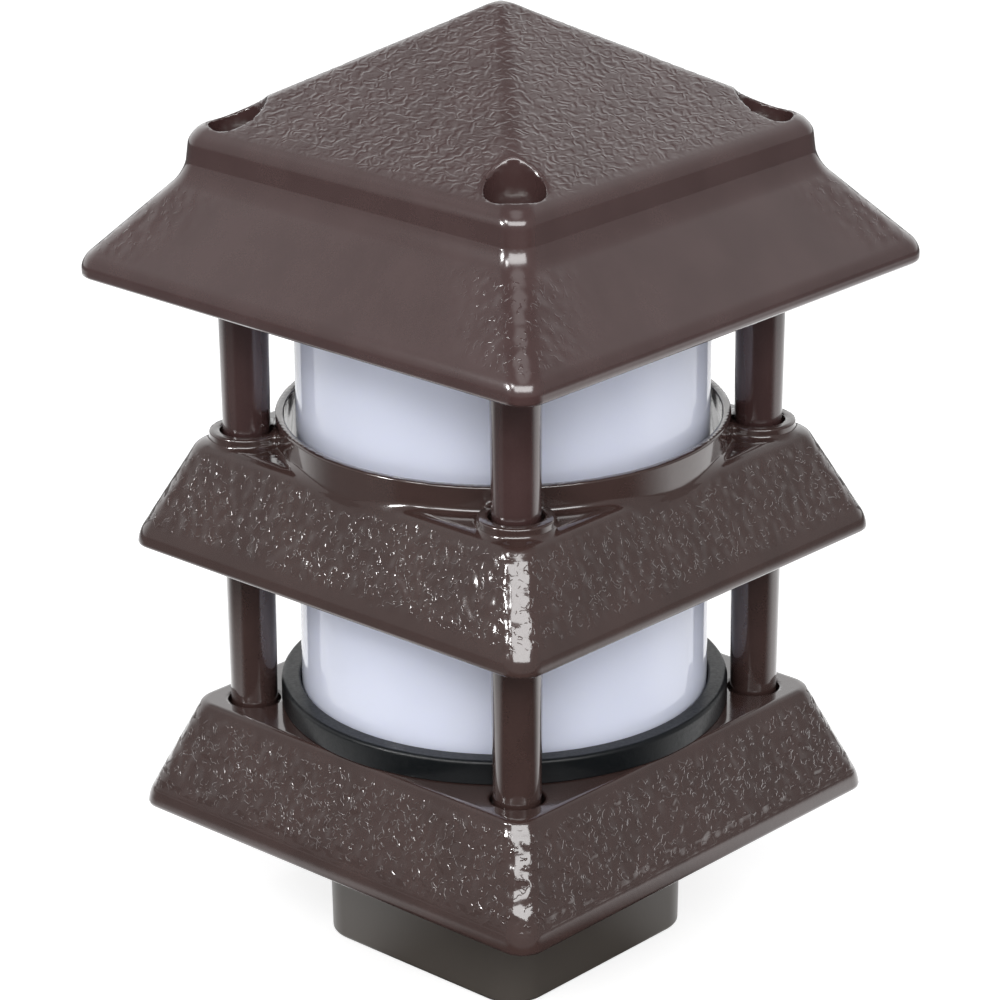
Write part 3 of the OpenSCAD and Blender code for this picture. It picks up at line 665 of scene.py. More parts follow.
# %% The roof's sizes
band_low, band_top = roof_eave + 26.0, roof_eave + 36.2
band_low_half, band_top_half = 56.55, 55.6
tip_half = 1.5
well_r, well_floor = 7.15, washer_low[2]
boss_r = 9.55
seat_in, seat_out = 47.6, 53.2
top_rubber_low, top_rubber_high = levels("roof_gasket")
roof_half, roof_top = roof_high[0], roof_high[2]
print("band from", round(band_low, 1), "to", round(band_top, 1), "point at", round(roof_top, 2))

# %% The roof's outside and hollow


def roof_outside(x, y, z):
    """Skirt, lip, band and hips."""
    ridge = np.interp(z, [band_top, band_top + 7, roof_top - 6, roof_top], [corner_r, 2.5, 2.5, 1.0])
    half = reach(x, y, ridge)
    skirt = slant(half, z, (roof_half, roof_eave + roof_lip), (band_low_half, band_low))
    form = trim(trim(half - roof_half, skirt, 1.4), roof_eave - z, 1.0)
    form = np.maximum(form, z - band_low - 1)
    band = slant(half, z, (band_low_half, band_low), (band_top_half, band_top))
    hips = slant(half, z, (band_top_half, band_top), (tip_half, roof_top))
    upper = np.maximum(trim(trim(band, hips, 2.2), z - roof_top, 0.8), band_low - 4 - z)
    return join(form, upper, 2.0)


def roof_hollow(x, y, z, d):
    """The space under the roof, less the bosses and the seat of the glass."""
    half = reach(x, y, corner_r - wall)
    skirt_low = (roof_half - wall, roof_eave + roof_lip - 1)
    in_skirt = slant(half, z, skirt_low, (band_low_half - wall, band_low - 1))
    low = np.maximum(np.maximum(half - roof_half + wall, in_skirt), z - band_low)
    in_band = slant(half, z, (band_low_half - wall, band_low - 1), (band_top_half - wall, band_top - 1))
    in_hips = slant(half, z, (band_top_half - wall, band_top - 1), (tip_half + 2, roof_top - 1.57 * wall))
    high = np.maximum(trim(in_band, in_hips, 1.5), band_low - 5 - z)
    space = join(low, high, 3.0)
    boss = np.maximum(d - boss_r, well_floor - boss_floor - z)
    rr = np.hypot(x, y)
    seat = np.maximum(np.maximum(rr - seat_out, seat_in - rr), top_rubber_high - z)
    return trim(trim(space, -boss, 1.0), -seat, 0.8)


def roof_field(x, y, z):
    """The whole roof with its posts, wells and screw holes."""
    d = from_posts(x, y)
    body = trim(roof_outside(x, y, z), -roof_hollow(x, y, z, d), 0.5)
    body = join(body, post(d, z, roof_low[2], roof_eave, well_floor - 1.5), 2.0)
    body = trim(body, -np.maximum(d - well_r, well_floor - z), 0.6)
    return trim(body, tie_hole_r - d, 0.3)


at_point = float(roof_outside(0.0, 0.0, roof_top))
print("the field at the construction model's point:", round(at_point, 3), "(above zero is off the metal)")

# %% Grain of the roof


def roof_paint(points, normals):
    """Leather grain on the hips, clear of the band and the wells; faint ridges by the skirt's corners."""
    x, y, z = points.T
    hips = ease(z, band_top + 0.6, band_top + 3.4) * ease(normals[:, 2], 0.3, 0.6)
    clear_of_wells = ease(from_posts(x, y), well_r + 0.3, well_r + 2.4)
    outside = roof_outside(x, y, z) > -0.3
    lip_top = roof_eave + roof_lip
    on_skirt = ease(z, lip_top + 1.0, lip_top + 4.0) * ease(-z, -band_low + 1.0, -band_low + 5.0)
    return {
        "leather_grain": hips * clear_of_wells * outside,
        "curled_ridges": 0.7 * on_skirt * by_corners(x, y, 26.0) * outside,
    }


roof_lines = mirrored_lines([(4, 1.0), (36, 2.3), (54, 0.85), (roof_half + 1.5, 1.25)])
roof_levels = climbing_lines(roof_low[2] - 1.8, [
    (roof_eave - 1, 3.0), (roof_eave + 6, 0.7), (band_low - 4, 1.4),
    (band_top, 0.7), (band_top + 3.5, 0.4), (roof_top + 1.8, 1.2),
])
roof = cast("roof_casting", roof_field, (roof_lines, roof_lines, roof_levels), roof_bronze, roof_paint)

# %% [markdown]
# ## The middle tier
#
# Its skirt leans like a roof's. On its flat top stands a ring that the glass passes through, and in each
# corner a raised collar with a socket for the post above. Four posts of its own stand in the bottom tier.

# %% The middle tier's sizes
tier_half = middle_high[0]
middle_half = 55.7
ring_out, ring_in = 57.1, 54.9
ring_top = middle_high[2]
ring_sink = 8.0
collar_r = socket_r + 2.7
collar_top = middle_plate + collar_h
middle_socket = roof_low[2]
bottom_socket = middle_low[2]
print("ring from", round(middle_plate, 1), "to", round(ring_top, 1))

# %% A tier's shell and the middle tier


def tier_shell(x, y, z, eave, plate, plate_half, edge):
    """Leaning skirt and flat top, open below: its outside and its hollow."""
    half = reach(x, y, corner_r)
    skirt = slant(half, z, (tier_half, eave + tier_lip), (plate_half, plate))
    outside = trim(trim(trim(half - tier_half, skirt, 1.0), z - plate, edge), eave - z, 0.8)
    inner = reach(x, y, corner_r - wall)
    in_skirt = slant(inner, z, (tier_half - wall, eave + tier_lip), (plate_half - wall, plate - plate_t))
    hollow = trim(trim(inner - tier_half + wall, in_skirt, 1.0), z - plate + plate_t, 1.5)
    return outside, hollow


def middle_field(x, y, z):
    """The middle tier with its ring, collars, sockets and posts."""
    outside, hollow = tier_shell(x, y, z, middle_eave, middle_plate, middle_half, 2.0)
    d, rr = from_posts(x, y), np.hypot(x, y)
    collar = trim(trim(d - collar_r, z - collar_top, 0.7), middle_socket - boss_floor - z, 0.7)
    ring = np.maximum(trim(rr - ring_out, z - ring_top, 0.6), middle_plate - ring_sink - z)
    body = join(join(trim(outside, -hollow, 0.5), collar, 1.1), ring, 1.6)
    body = join(body, post(d, z, bottom_socket, middle_eave, middle_socket - 1.5), 2.0)
    body = trim(body, ring_in - rr, 0.6)
    body = trim(body, -np.maximum(d - socket_r, middle_socket - z), 0.6)
    return trim(body, tie_hole_r - d, 0.3)


print("the middle tier narrows from", round(2 * tier_half, 1), "to", round(2 * middle_half, 1), "mm")

# %% Ridges of the tiers


def tier_paint(eave, plate):
    """Curled ridges on a tier's skirt, fading at its edges and deeper round its corners."""
    def paint(points, normals):
        x, y, z = points.T
        half = reach(x, y, corner_r)
        on_skirt = ease(normals[:, 2], 0.2, 0.36) * ease(-normals[:, 2], -0.6, -0.46)
        level = ease(z, eave + tier_lip + 2.0, eave + tier_lip + 5.5) * ease(-z, -plate + 1.2, -plate + 4.2)
        outer = half > np.interp(z, [eave, plate], [tier_half - wall, middle_half - wall]) + 1.5
        deeper = 1 + 0.4 * by_corners(x, y, corner_r)
        return {"curled_ridges": on_skirt * level * outer * deeper, "leather_grain": 0 * x}
    return paint


middle_lines = mirrored_lines([(34, 2.0), (60, 0.75), (tier_half + 1.5, 1.0)])
middle_levels = climbing_lines(bottom_socket - 1.8, [
    (middle_eave - 1, 3.0), (middle_eave + 4, 0.7), (middle_plate - 6, 1.4), (ring_top + 1.2, 0.55),
])
middle = cast(
    "middle_tier_casting", middle_field, (middle_lines, middle_lines, middle_levels), bronze,
    tier_paint(middle_eave, middle_plate),
)

# %% [markdown]
# ## The bottom tier
#
# It has the same skirt under a larger flat top with a crisp edge. The upper posts stand in plain sockets, and
# below them are bosses for the long screws. Its middle is drilled for the leads, the hub and the lampholder.

# %% The bottom tier
bottom_half = 56.6
tie_boss_r = 8.0
tie_low = levels("tie_screws")[0]
tie_boss_low = tie_low + 2
thread_r = 2.5
hub_screw_c = 27.4
hub_screw_hole = 2.2
wire_hole_r = 8.0
foot_screw_x, foot_screw_hole = 24.0, 1.6
ground_y = 22.0


def bottom_field(x, y, z):
    """The bottom tier with its sockets, bosses and holes."""
    outside, hollow = tier_shell(x, y, z, bottom_eave, bottom_plate, bottom_half, 0.9)
    d = from_posts(x, y)
    boss = np.maximum(trim(d - tie_boss_r, tie_boss_low - z, 0.8), z - bottom_plate + 1.5)
    body = join(trim(outside, -hollow, 0.5), boss, 1.5)
    body = trim(body, -np.maximum(d - socket_r, bottom_socket - z), 0.5)
    body = trim(body, thread_r - d, 0.3)
    holes = np.minimum.reduce([
        np.hypot(np.abs(x) - hub_screw_c, np.abs(y) - hub_screw_c) - hub_screw_hole,
        np.hypot(x, y) - wire_hole_r,
        np.hypot(np.abs(x) - foot_screw_x, y) - foot_screw_hole,
        np.hypot(x, y - ground_y) - foot_screw_hole,
    ])
    return trim(body, -holes, 0.3)


bottom_lines = mirrored_lines([(30, 1.2), (36, 1.8), (58, 0.8), (tier_half + 1.5, 1.0)])
bottom_levels = climbing_lines(bottom_eave - 1.8, [
    (bottom_eave + 4, 0.7), (bottom_plate - 6, 1.4), (bottom_plate + 1.2, 0.55),
])
bottom = cast(
    "bottom_tier_casting", bottom_field, (bottom_lines, bottom_lines, bottom_levels), bronze,
    tier_paint(bottom_eave, bottom_plate),
)

# %% [markdown]
# ## The hub
#
# A short square box with wide round corners, open at the top, where the leads are joined. Its floor is
# tapped for a half-inch pipe, and its four pillars take the screws from the bottom tier.

# %% The hub
hub_foot_half, hub_top_half = 34.75, hub_high[0]
hub_corner_r = 9.3
hub_wall, hub_floor = 3.4, 4.0
pipe_r, pipe_len, pipe_wall = 9.7, 18.0, 5.0
pipe_pitch, pipe_thread = 25.4 / 14, -0.9
pillar_r = 4.6
pillar_hole_low = hub_high[2] - 18.0


def hub_field(x, y, z):
    """The hub with its pipe boss and pillars."""
    top = hub_high[2]
    half, inner = reach(x, y, hub_corner_r), reach(x, y, hub_corner_r - hub_wall)
    side = slant(half, z, (hub_foot_half, 0), (hub_top_half, top))
    in_side = slant(inner, z, (hub_foot_half - hub_wall, 0), (hub_top_half - hub_wall, top))
    rr = np.hypot(x, y)
    pillar_d = np.hypot(np.abs(x) - hub_screw_c, np.abs(y) - hub_screw_c)
    body = trim(trim(side, -z, 1.4), -trim(in_side, hub_floor - z, 1.4), 0.4)
    body = join(body, np.maximum(trim(rr - pipe_r - pipe_wall, z - pipe_len, 0.8), 2 - z), 1.5)
    body = join(body, np.maximum(pillar_d - pillar_r, 2 - z), 1.2)
    crest = 0.5 + 0.5 * np.cos(math.tau * z / pipe_pitch - np.arctan2(y, x))
    tapped = ease(z, 0.5, 2.5) * ease(-z, -pipe_len + 0.5, -pipe_len + 2.5)
    body = trim(body, pipe_r - pipe_thread * crest * tapped - rr, 0.5)
    body = trim(body, -np.maximum(pillar_d - thread_r + 0.5, pillar_hole_low - z), 0.3)
    return trim(body, z - top, 0.4)


hub_lines = mirrored_lines([(20, 0.8), (hub_top_half + 1.2, 0.8)])
hub_levels = climbing_lines(-1.2, [(19.5, 0.4), (59, 2.5), (hub_high[2] + 1.2, 0.6)])
hub = cast("hub_casting", hub_field, (hub_lines, hub_lines, hub_levels), hub_coat)

# %% Castings onto their bodies
for piece, nodes, body, slot in (
    (roof, ("roof", "roof_skirt", "roof_posts"), "roof", "bronze_coat"),
    (middle, ("middle_tier",), "middle", "bronze_coat"),
    (bottom, ("bottom_tier",), "base", "bronze_coat"),
    (hub, ("mounting_hub",), "base", "hub_coat"),
):
    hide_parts(*nodes)
    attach(piece, body)
    print(piece.name, "takes the place of", *nodes)

# %% [markdown]
# ## Geometry trees
#
# Everything inside and around the castings is either turned on a lathe, moulded round, repeated at known
# places, or follows a path. Such rules are what Geometry Nodes are good at, so each rule is one tree, built
# here, with named inputs for its sizes. A piece runs the tree once and keeps the result as a plain mesh.
#
# An input is set by its identifier on the modifier, before the piece is looked at for the first time. The
# Weighted Normal modifier after it keeps flat faces looking flat beside small round edges.

# %% Building and running a tree


def new_geometry_tree(name, inputs):
    """A geometry tree with named inputs, given as label: (kind, value); returns it with its input sockets."""
    tree = bpy.data.node_groups.new(name, "GeometryNodeTree")
    tree.interface.new_socket("Geometry", in_out="INPUT", socket_type="NodeSocketGeometry")
    for label, (kind, value) in inputs.items():
        socket = tree.interface.new_socket(label, in_out="INPUT", socket_type="NodeSocket" + kind)
        if value is not None:
            socket.default_value = value
    tree.interface.new_socket("Geometry", in_out="OUTPUT", socket_type="NodeSocketGeometry")
    return tree, tree.nodes.new("NodeGroupInput").outputs


def end_tree(tree, geometry, given):
    """Smooths what is smooth, makes everything real, gives it its material and ends the tree."""
    smooth = add(tree, "GeometryNodeSetShadeSmooth", {0: geometry, "Shade Smooth": True}, domain="FACE")
    angle = add(tree, "GeometryNodeInputMeshEdgeAngle", out="Unsigned Angle")
    creased = add(tree, "GeometryNodeSetShadeSmooth", {
        0: smooth,
        "Selection": add(tree, "ShaderNodeMath", {0: angle, 1: math.radians(34)}, operation="GREATER_THAN"),
        "Shade Smooth": False,
    }, domain="EDGE")
    real = add(tree, "GeometryNodeRealizeInstances", {0: creased})
    dressed = add(tree, "GeometryNodeSetMaterial", {0: real, "Material": given["Material"]})
    add(tree, "NodeGroupOutput", {0: dressed})


def run_tree(piece, tree, values):
    """Runs a tree on a piece with these inputs and keeps the result as a plain mesh of one material."""
    modifier = piece.modifiers.new(tree.name, "NODES")
    modifier.node_group = tree
    identifiers = {item.name: item.identifier for item in tree.interface.items_tree if item.in_out == "INPUT"}
    for label, value in values.items():
        modifier[identifiers[label]] = value
    shading = piece.modifiers.new("even shading", "WEIGHTED_NORMAL")
    shading.keep_sharp = True
    graph = bpy.context.evaluated_depsgraph_get()
    finished = piece.evaluated_get(graph)
    made = bpy.data.meshes.new_from_object(finished, preserve_all_data_layers=True, depsgraph=graph)
    piece.modifiers.clear()
    piece.data = made
    made.materials.clear()
    made.materials.append(values["Material"])
    made.polygons.foreach_set("material_index", np.zeros(len(made.polygons), int))
    return piece


print("trees end in real geometry with a material")

# %% [markdown]
# ## Turned pieces
#
# A lathe moves a tool along a section while the work turns. The tree does the same: the piece's own mesh
# holds the section's points, a grid supplies one row of points for each of them, and Set Position rolls the
# grid round the Z axis. Moving points out and in with the angle and the height gives a thread, and with the
# angle alone ribs. A curve turned with Curve to Mesh would be shorter, but its points couldn't follow a
# thread.

# %% What a band of the section carries


def in_band(tree, given, level):
    """1 between the band's levels, 0 outside them, smooth at both ends."""
    rise = add(tree, "ShaderNodeMapRange", {
        0: level,
        1: given["Band low"],
        2: add(tree, "ShaderNodeMath", {0: given["Band low"], 1: given["Band fade"]}, operation="ADD"),
    }, interpolation_type="SMOOTHSTEP")
    fall = add(tree, "ShaderNodeMapRange", {
        0: level,
        1: given["Band high"],
        2: add(tree, "ShaderNodeMath", {0: given["Band high"], 1: given["Band fade"]}, operation="SUBTRACT"),
    }, interpolation_type="SMOOTHSTEP")
    return add(tree, "ShaderNodeMath", {0: rise, 1: fall}, operation="MULTIPLY")


def crest(tree, phase):
    """A smooth wave of this angle, 1 on its crest and 0 in its trough."""
    swing = add(tree, "ShaderNodeMath", {0: phase}, operation="COSINE")
    return add(tree, "ShaderNodeMath", {0: swing, 1: 0.5, 2: 0.5}, operation="MULTIPLY_ADD")


def thread_and_ribs(tree, given, level, angle):
    """How far the thread and the ribs move a point at this level and angle outwards."""
    turns = add(tree, "ShaderNodeMath", {0: level, 1: given["Thread pitch"]}, operation="DIVIDE")
    climb = add(tree, "ShaderNodeMath", {0: turns, 1: math.tau}, operation="MULTIPLY")
    phase = add(tree, "ShaderNodeMath", {0: climb, 1: angle}, operation="SUBTRACT")
    thread = add(tree, "ShaderNodeMath", {
        0: crest(tree, phase), 1: given["Thread depth"],
    }, operation="MULTIPLY")
    around = add(tree, "ShaderNodeMath", {0: angle, 1: given["Rib count"]}, operation="MULTIPLY")
    return add(tree, "ShaderNodeMath", {
        0: crest(tree, around), 1: given["Rib depth"], 2: thread,
    }, operation="MULTIPLY_ADD")


print("a band carries a thread, ribs or nothing")

# %% The turning tree


def turning_tree():
    """Turns a section, given as points in order, round the Z axis; a band can carry a thread or ribs."""
    tree, given = new_geometry_tree("turned section", {
        "Turns round": ("Int", 96),
        "Band low": ("Float", 0.0),
        "Band high": ("Float", 0.0),
        "Band fade": ("Float", 1 * MM),
        "Thread pitch": ("Float", 1 * MM),
        "Thread depth": ("Float", 0.0),
        "Rib count": ("Int", 0),
        "Rib depth": ("Float", 0.0),
        "Material": ("Material", None),
    })
    rows = add(tree, "GeometryNodeAttributeDomainSize", {"Geometry": given["Geometry"]}, out="Point Count")
    grid = add(tree, "GeometryNodeMeshGrid", {
        "Size X": 1.0,
        "Size Y": 1.0,
        "Vertices X": add(tree, "ShaderNodeMath", {0: given["Turns round"], 1: 1.0}, operation="ADD"),
        "Vertices Y": rows,
    })
    at = add(tree, "ShaderNodeSeparateXYZ", {0: add(tree, "GeometryNodeInputPosition")}).node.outputs
    angle = add(tree, "ShaderNodeMath", {0: at["X"], 1: math.tau, 2: math.pi}, operation="MULTIPLY_ADD")
    row = add(tree, "ShaderNodeMath", {
        0: add(tree, "ShaderNodeMath", {0: at["Y"], 1: 0.5}, operation="ADD"),
        1: add(tree, "ShaderNodeMath", {0: rows, 1: 1.0}, operation="SUBTRACT"),
        2: 0.5,
    }, operation="MULTIPLY_ADD")
    section_place = add(tree, "GeometryNodeSampleIndex", {
        "Geometry": given["Geometry"],
        "Value": add(tree, "GeometryNodeInputPosition"),
        "Index": add(tree, "ShaderNodeMath", {0: row}, operation="FLOOR"),
    }, data_type="FLOAT_VECTOR", domain="POINT")
    on_section = add(tree, "ShaderNodeSeparateXYZ", {0: section_place}).node.outputs
    level = on_section["Z"]
    share = in_band(tree, given, level)
    pattern = thread_and_ribs(tree, given, level, angle)
    radius = add(tree, "ShaderNodeMath", {
        0: pattern, 1: share, 2: on_section["X"],
    }, operation="MULTIPLY_ADD")
    rolled = add(tree, "GeometryNodeSetPosition", {
        "Geometry": grid,
        "Position": add(tree, "ShaderNodeCombineXYZ", {
            "X": add(tree, "ShaderNodeMath", {
                0: radius, 1: add(tree, "ShaderNodeMath", {0: angle}, operation="COSINE"),
            }, operation="MULTIPLY"),
            "Y": add(tree, "ShaderNodeMath", {
                0: radius, 1: add(tree, "ShaderNodeMath", {0: angle}, operation="SINE"),
            }, operation="MULTIPLY"),
            "Z": level,
        }),
    })
    end_tree(tree, add(tree, "GeometryNodeMergeByDistance", {0: rolled, "Distance": 0.003 * MM}), given)
    return tree


turning = turning_tree()
print("the turning tree has", len(turning.nodes), "nodes")

# %% [markdown]
# A section is a list of corners, each a radius, a level and how far it is rounded, taken anticlockwise so
# that the faces look outwards. `section` rounds them and adds the rows that a thread needs.

# %% Sections
round_steps = 4


def section(corners, fine=None):
    """Points along rounded corners (r, z, rounding); fine is (low, high, gap) where rows lie close."""
    corners = [tuple(c) + (0,) * (3 - len(c)) for c in corners]
    points = []
    for i, (r, z, rounding) in enumerate(corners):
        here = np.array((r, z), float)
        if not rounding:
            points.append(here)
            continue
        before = np.array(corners[i - 1][:2]) - here
        after = np.array(corners[(i + 1) % len(corners)][:2]) - here
        before, after = before / np.linalg.norm(before), after / np.linalg.norm(after)
        half = math.acos(float(np.clip(before @ after, -1, 1))) / 2
        middle_way = (before + after) / np.linalg.norm(before + after)
        centre = here + middle_way * rounding / math.sin(half)
        first = here + before * rounding / math.tan(half) - centre
        last = here + after * rounding / math.tan(half) - centre
        sweep = math.pi - 2 * half
        for t in np.linspace(0, 1, round_steps + 1):
            swung = math.sin((1 - t) * sweep) * first + math.sin(t * sweep) * last
            points.append(centre + swung / math.sin(sweep))
    if fine:
        low, high, gap = fine
        rows = [points[0]]
        for a, b in zip(points, points[1:]):
            near = max(a[1], b[1]) > low and min(a[1], b[1]) < high
            count = max(1, math.ceil(abs(b[1] - a[1]) / gap)) if near else 1
            rows += [a + (b - a) * k / count for k in range(1, count + 1)]
        points = rows
    return points


print("a rounded corner has", round_steps, "steps")

# %% A turned piece


def turned(name, corners, material, around=96, closed=True, fine=None, band=None, thread=None, ribs=None):
    """A turned piece; a closed section is a ring, and an open one starts and ends on the axis.

    band is (low, high, fade), and carries its thread, (pitch, depth), or its ribs, (count, depth).
    """
    points = section(corners + [corners[0][:2] + (0,)] if closed else corners, fine)
    if closed:
        points[-1] = points[0]
    values = {"Turns round": around, "Material": material}
    if band:
        values |= {"Band low": band[0] * MM, "Band high": band[1] * MM, "Band fade": band[2] * MM}
    if thread:
        values |= {"Thread pitch": thread[0] * MM, "Thread depth": thread[1] * MM}
    if ribs:
        values |= {"Rib count": ribs[0], "Rib depth": ribs[1] * MM}
    return run_tree(new_object(name, [(r, 0, z) for r, z in points]), turning, values)


def place_on(piece, body, *nodes):
    """Puts a finished piece in the place of its nodes and onto its body."""
    if nodes:
        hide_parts(*nodes)
    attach(piece, body)


print("turned pieces are made in millimetres")

# %% [markdown]
# ## Glass and its rubbers
#
# The opal cylinder's ends are ground and fire polished round. It stands in a moulded rubber ring of L
# section and is pressed down by a flat rubber under the roof, which bulges a little at its edges.

# %% The glass cylinder and its gaskets
glass_r, glass_wall = glass_high[0], 3.0
gasket_bore = glass_r + 0.3

glass = turned("opal_glass_cylinder", [
    (glass_r, 100),
    (glass_r, glass_high[2], 0.9),
    (glass_r - glass_wall, glass_high[2], 0.9),
    (glass_r - glass_wall, glass_low[2], 0.9),
    (glass_r, glass_low[2], 0.9),
], glass_white, around=192)
foot_rubber = turned("rubber_ring_under_glass", [
    (gasket_high[0], 70),
    (gasket_high[0], gasket_high[2], 1.1),
    (gasket_bore, gasket_high[2], 0.8),
    (gasket_bore, glass_low[2], 0.3),
    (seat_in, glass_low[2], 0.5),
    (seat_in, bottom_plate, 0.3),
    (gasket_high[0], bottom_plate, 0.4),
], seal_rubber, around=160)
top_rubber = turned("rubber_ring_over_glass", [
    (seat_out, top_rubber_low + 1.2),
    (seat_out, top_rubber_high, 0.9),
    (seat_in, top_rubber_high, 0.9),
    (seat_in, top_rubber_low, 0.9),
    (seat_out, top_rubber_low, 0.9),
], seal_rubber, around=160)
place_on(glass, "glass", "glass_cylinder")
place_on(foot_rubber, "base", "base_gasket")
place_on(top_rubber, "roof", "roof_gasket")
print("glass", round(2 * glass_r, 1), "mm across")

# %% [markdown]
# ## Screws and washers
#
# Each screw is turned once: a pan head with a rounded shoulder, a shank and a cut thread. A second tree
# sinks a tapered cross recess in the head. A third sets copies on the corner points, each turned by a random
# angle from a fixed seed, since nobody lines up screws.

# %% The recess tree


def recess_tree():
    """Sinks a tapered cross recess below a level."""
    tree, given = new_geometry_tree("cross recess", {
        "Level": ("Float", 0.0),
        "Depth": ("Float", 1 * MM),
        "Length": ("Float", 4 * MM),
        "Width": ("Float", 1 * MM),
        "Material": ("Material", None),
    })
    spike = add(tree, "GeometryNodeMeshCone", {
        "Vertices": 4,
        "Side Segments": 1,
        "Radius Top": math.sqrt(0.5),
        "Radius Bottom": 0.55 * math.sqrt(0.5),
        "Depth": 1.0,
    }, fill_type="NGON")
    square = add(tree, "GeometryNodeTransform", {0: spike, "Rotation": (0, 0, math.radians(45))})
    foot = add(tree, "ShaderNodeMath", {0: given["Level"], 1: given["Depth"]}, operation="SUBTRACT")
    wing = add(tree, "GeometryNodeTransform", {
        0: square,
        "Translation": add(tree, "ShaderNodeCombineXYZ", {"Z": foot}),
        "Scale": add(tree, "ShaderNodeCombineXYZ", {
            "X": given["Length"],
            "Y": given["Width"],
            "Z": add(tree, "ShaderNodeMath", {0: given["Depth"], 1: 1.1}, operation="MULTIPLY"),
        }),
    })
    other_wing = add(tree, "GeometryNodeTransform", {0: wing, "Rotation": (0, 0, math.radians(90))})
    both = add(tree, "GeometryNodeMeshBoolean", {"Mesh 2": wing}, operation="UNION", solver="MANIFOLD")
    tree.links.new(other_wing, both.node.inputs["Mesh 2"])
    cut = add(tree, "GeometryNodeMeshBoolean", {
        "Mesh 1": given["Geometry"], "Mesh 2": both,
    }, operation="DIFFERENCE", solver="MANIFOLD")
    end_tree(tree, cut, given)
    return tree


recess = recess_tree()
print("the recess tree has", len(recess.nodes), "nodes")

# %% The drilling tree


def drill_tree():
    """Drills two upright holes, one on each side of the middle."""
    tree, given = new_geometry_tree("pair of drilled holes", {
        "Hole radius": ("Float", 1 * MM),
        "Off middle": ("Float", 10 * MM),
        "Low": ("Float", 0.0),
        "High": ("Float", 10 * MM),
        "Material": ("Material", None),
    })
    depth = add(tree, "ShaderNodeMath", {0: given["High"], 1: given["Low"]}, operation="SUBTRACT")
    level = add(tree, "ShaderNodeMath", {0: depth, 1: 0.5, 2: given["Low"]}, operation="MULTIPLY_ADD")
    left = add(tree, "ShaderNodeMath", {0: given["Off middle"], 1: -1.0}, operation="MULTIPLY")
    apart = add(tree, "ShaderNodeMath", {0: given["Off middle"], 1: 2.0}, operation="MULTIPLY")
    places = add(tree, "GeometryNodeMeshLine", {
        "Count": 2,
        "Start Location": add(tree, "ShaderNodeCombineXYZ", {"X": left, "Z": level}),
        "Offset": add(tree, "ShaderNodeCombineXYZ", {"X": apart}),
    }, mode="OFFSET")
    drill = add(tree, "GeometryNodeMeshCylinder", {
        "Vertices": 40, "Radius": given["Hole radius"], "Depth": depth,
    })
    drills = add(tree, "GeometryNodeRealizeInstances", {
        0: add(tree, "GeometryNodeInstanceOnPoints", {"Points": places, "Instance": drill}),
    })
    cut = add(tree, "GeometryNodeMeshBoolean", {
        "Mesh 1": given["Geometry"], "Mesh 2": drills,
    }, operation="DIFFERENCE", solver="MANIFOLD")
    end_tree(tree, cut, given)
    return tree


def drill(piece, radius, off_middle, low, high, material):
    """Drills a pair of upright holes through a piece, from one level to another."""
    run_tree(piece, drilling, {
        "Hole radius": radius * MM,
        "Off middle": off_middle * MM,
        "Low": low * MM,
        "High": high * MM,
        "Material": material,
    })


drilling = drill_tree()
print("the drilling tree has", len(drilling.nodes), "nodes")

# %% The copying tree


def copies_tree():
    """Sets copies of a piece on the points of a mesh, each turned by a random angle, or upside down."""
    tree, given = new_geometry_tree("copies on points", {
        "Piece": ("Object", None),
        "Flip": ("Float", 0.0),
        "Random turn": ("Float", 0.0),
        "Seed": ("Int", 1),
        "Material": ("Material", None),
    })
    piece = add(tree, "GeometryNodeObjectInfo", {
        0: given["Piece"],
    }, out="Geometry", transform_space="ORIGINAL")
    turn = add(tree, "FunctionNodeRandomValue", {
        "Max": given["Random turn"], "Seed": given["Seed"],
    }, out="Value", data_type="FLOAT")
    copies = add(tree, "GeometryNodeInstanceOnPoints", {
        "Points": given["Geometry"],
        "Instance": piece,
        "Rotation": add(tree, "ShaderNodeCombineXYZ", {"X": given["Flip"], "Z": turn}),
    })
    real = add(tree, "GeometryNodeRealizeInstances", {0: copies})
    end_tree(tree, real, given)
    return tree


def copies(name, source, places, material, flip=0.0, random_turn=math.tau, seed=1):
    """Copies of a source piece on these places, as one piece; the source is used up."""
    piece = run_tree(new_object(name, places), copying, {
        "Piece": source, "Flip": flip, "Random turn": random_turn, "Seed": seed, "Material": material,
    })
    bpy.data.objects.remove(source)
    return piece


copying = copies_tree()
print("trees so far:", len(bpy.data.node_groups))

# %% A screw, and screws in their places


def screw(radius, length, head_r, head_h, pitch, threaded, material):
    """A pan-head screw with its head on level 0 and its shank below."""
    piece = turned("screw", [
        (0, -length),
        (0.55 * radius, -length),
        (radius, -length + 0.45 * radius, 0.1 * radius),
        (radius, -length + threaded),
        (radius, 0, 0.1 * radius),
        (head_r, 0, 0.1 * head_h),
        (head_r, head_h, 0.6 * head_h),
        (0, head_h),
    ], material, around=32, closed=False, fine=(-length, -length + threaded, pitch / 6),
        band=(-length + 0.2 * radius, -length + threaded, pitch), thread=(pitch, -0.6 * pitch))
    return run_tree(piece, recess, {
        "Level": head_h * MM,
        "Depth": 0.6 * head_h * MM,
        "Length": 1.1 * head_r * MM,
        "Width": 0.3 * head_r * MM,
        "Material": material,
    })


def corners_of(off_middle, level):
    """The four corner places of a square, at a level."""
    return [(sx * off_middle, sy * off_middle, level) for sx in (-1, 1) for sy in (-1, 1)]


def pair_of(off_middle, level):
    """Two places left and right of the middle, at a level."""
    return [(-off_middle, 0, level), (off_middle, 0, level)]


def set_screws(name, body, node, sizes, material, places, seed, flip=0.0):
    """Screws of one kind on their places and their body, instead of their node; sizes are as in screw."""
    place_on(copies(name, screw(*sizes, material), places, material, flip=flip, seed=seed), body, node)


print("screws stand on pairs or on corners of a square")

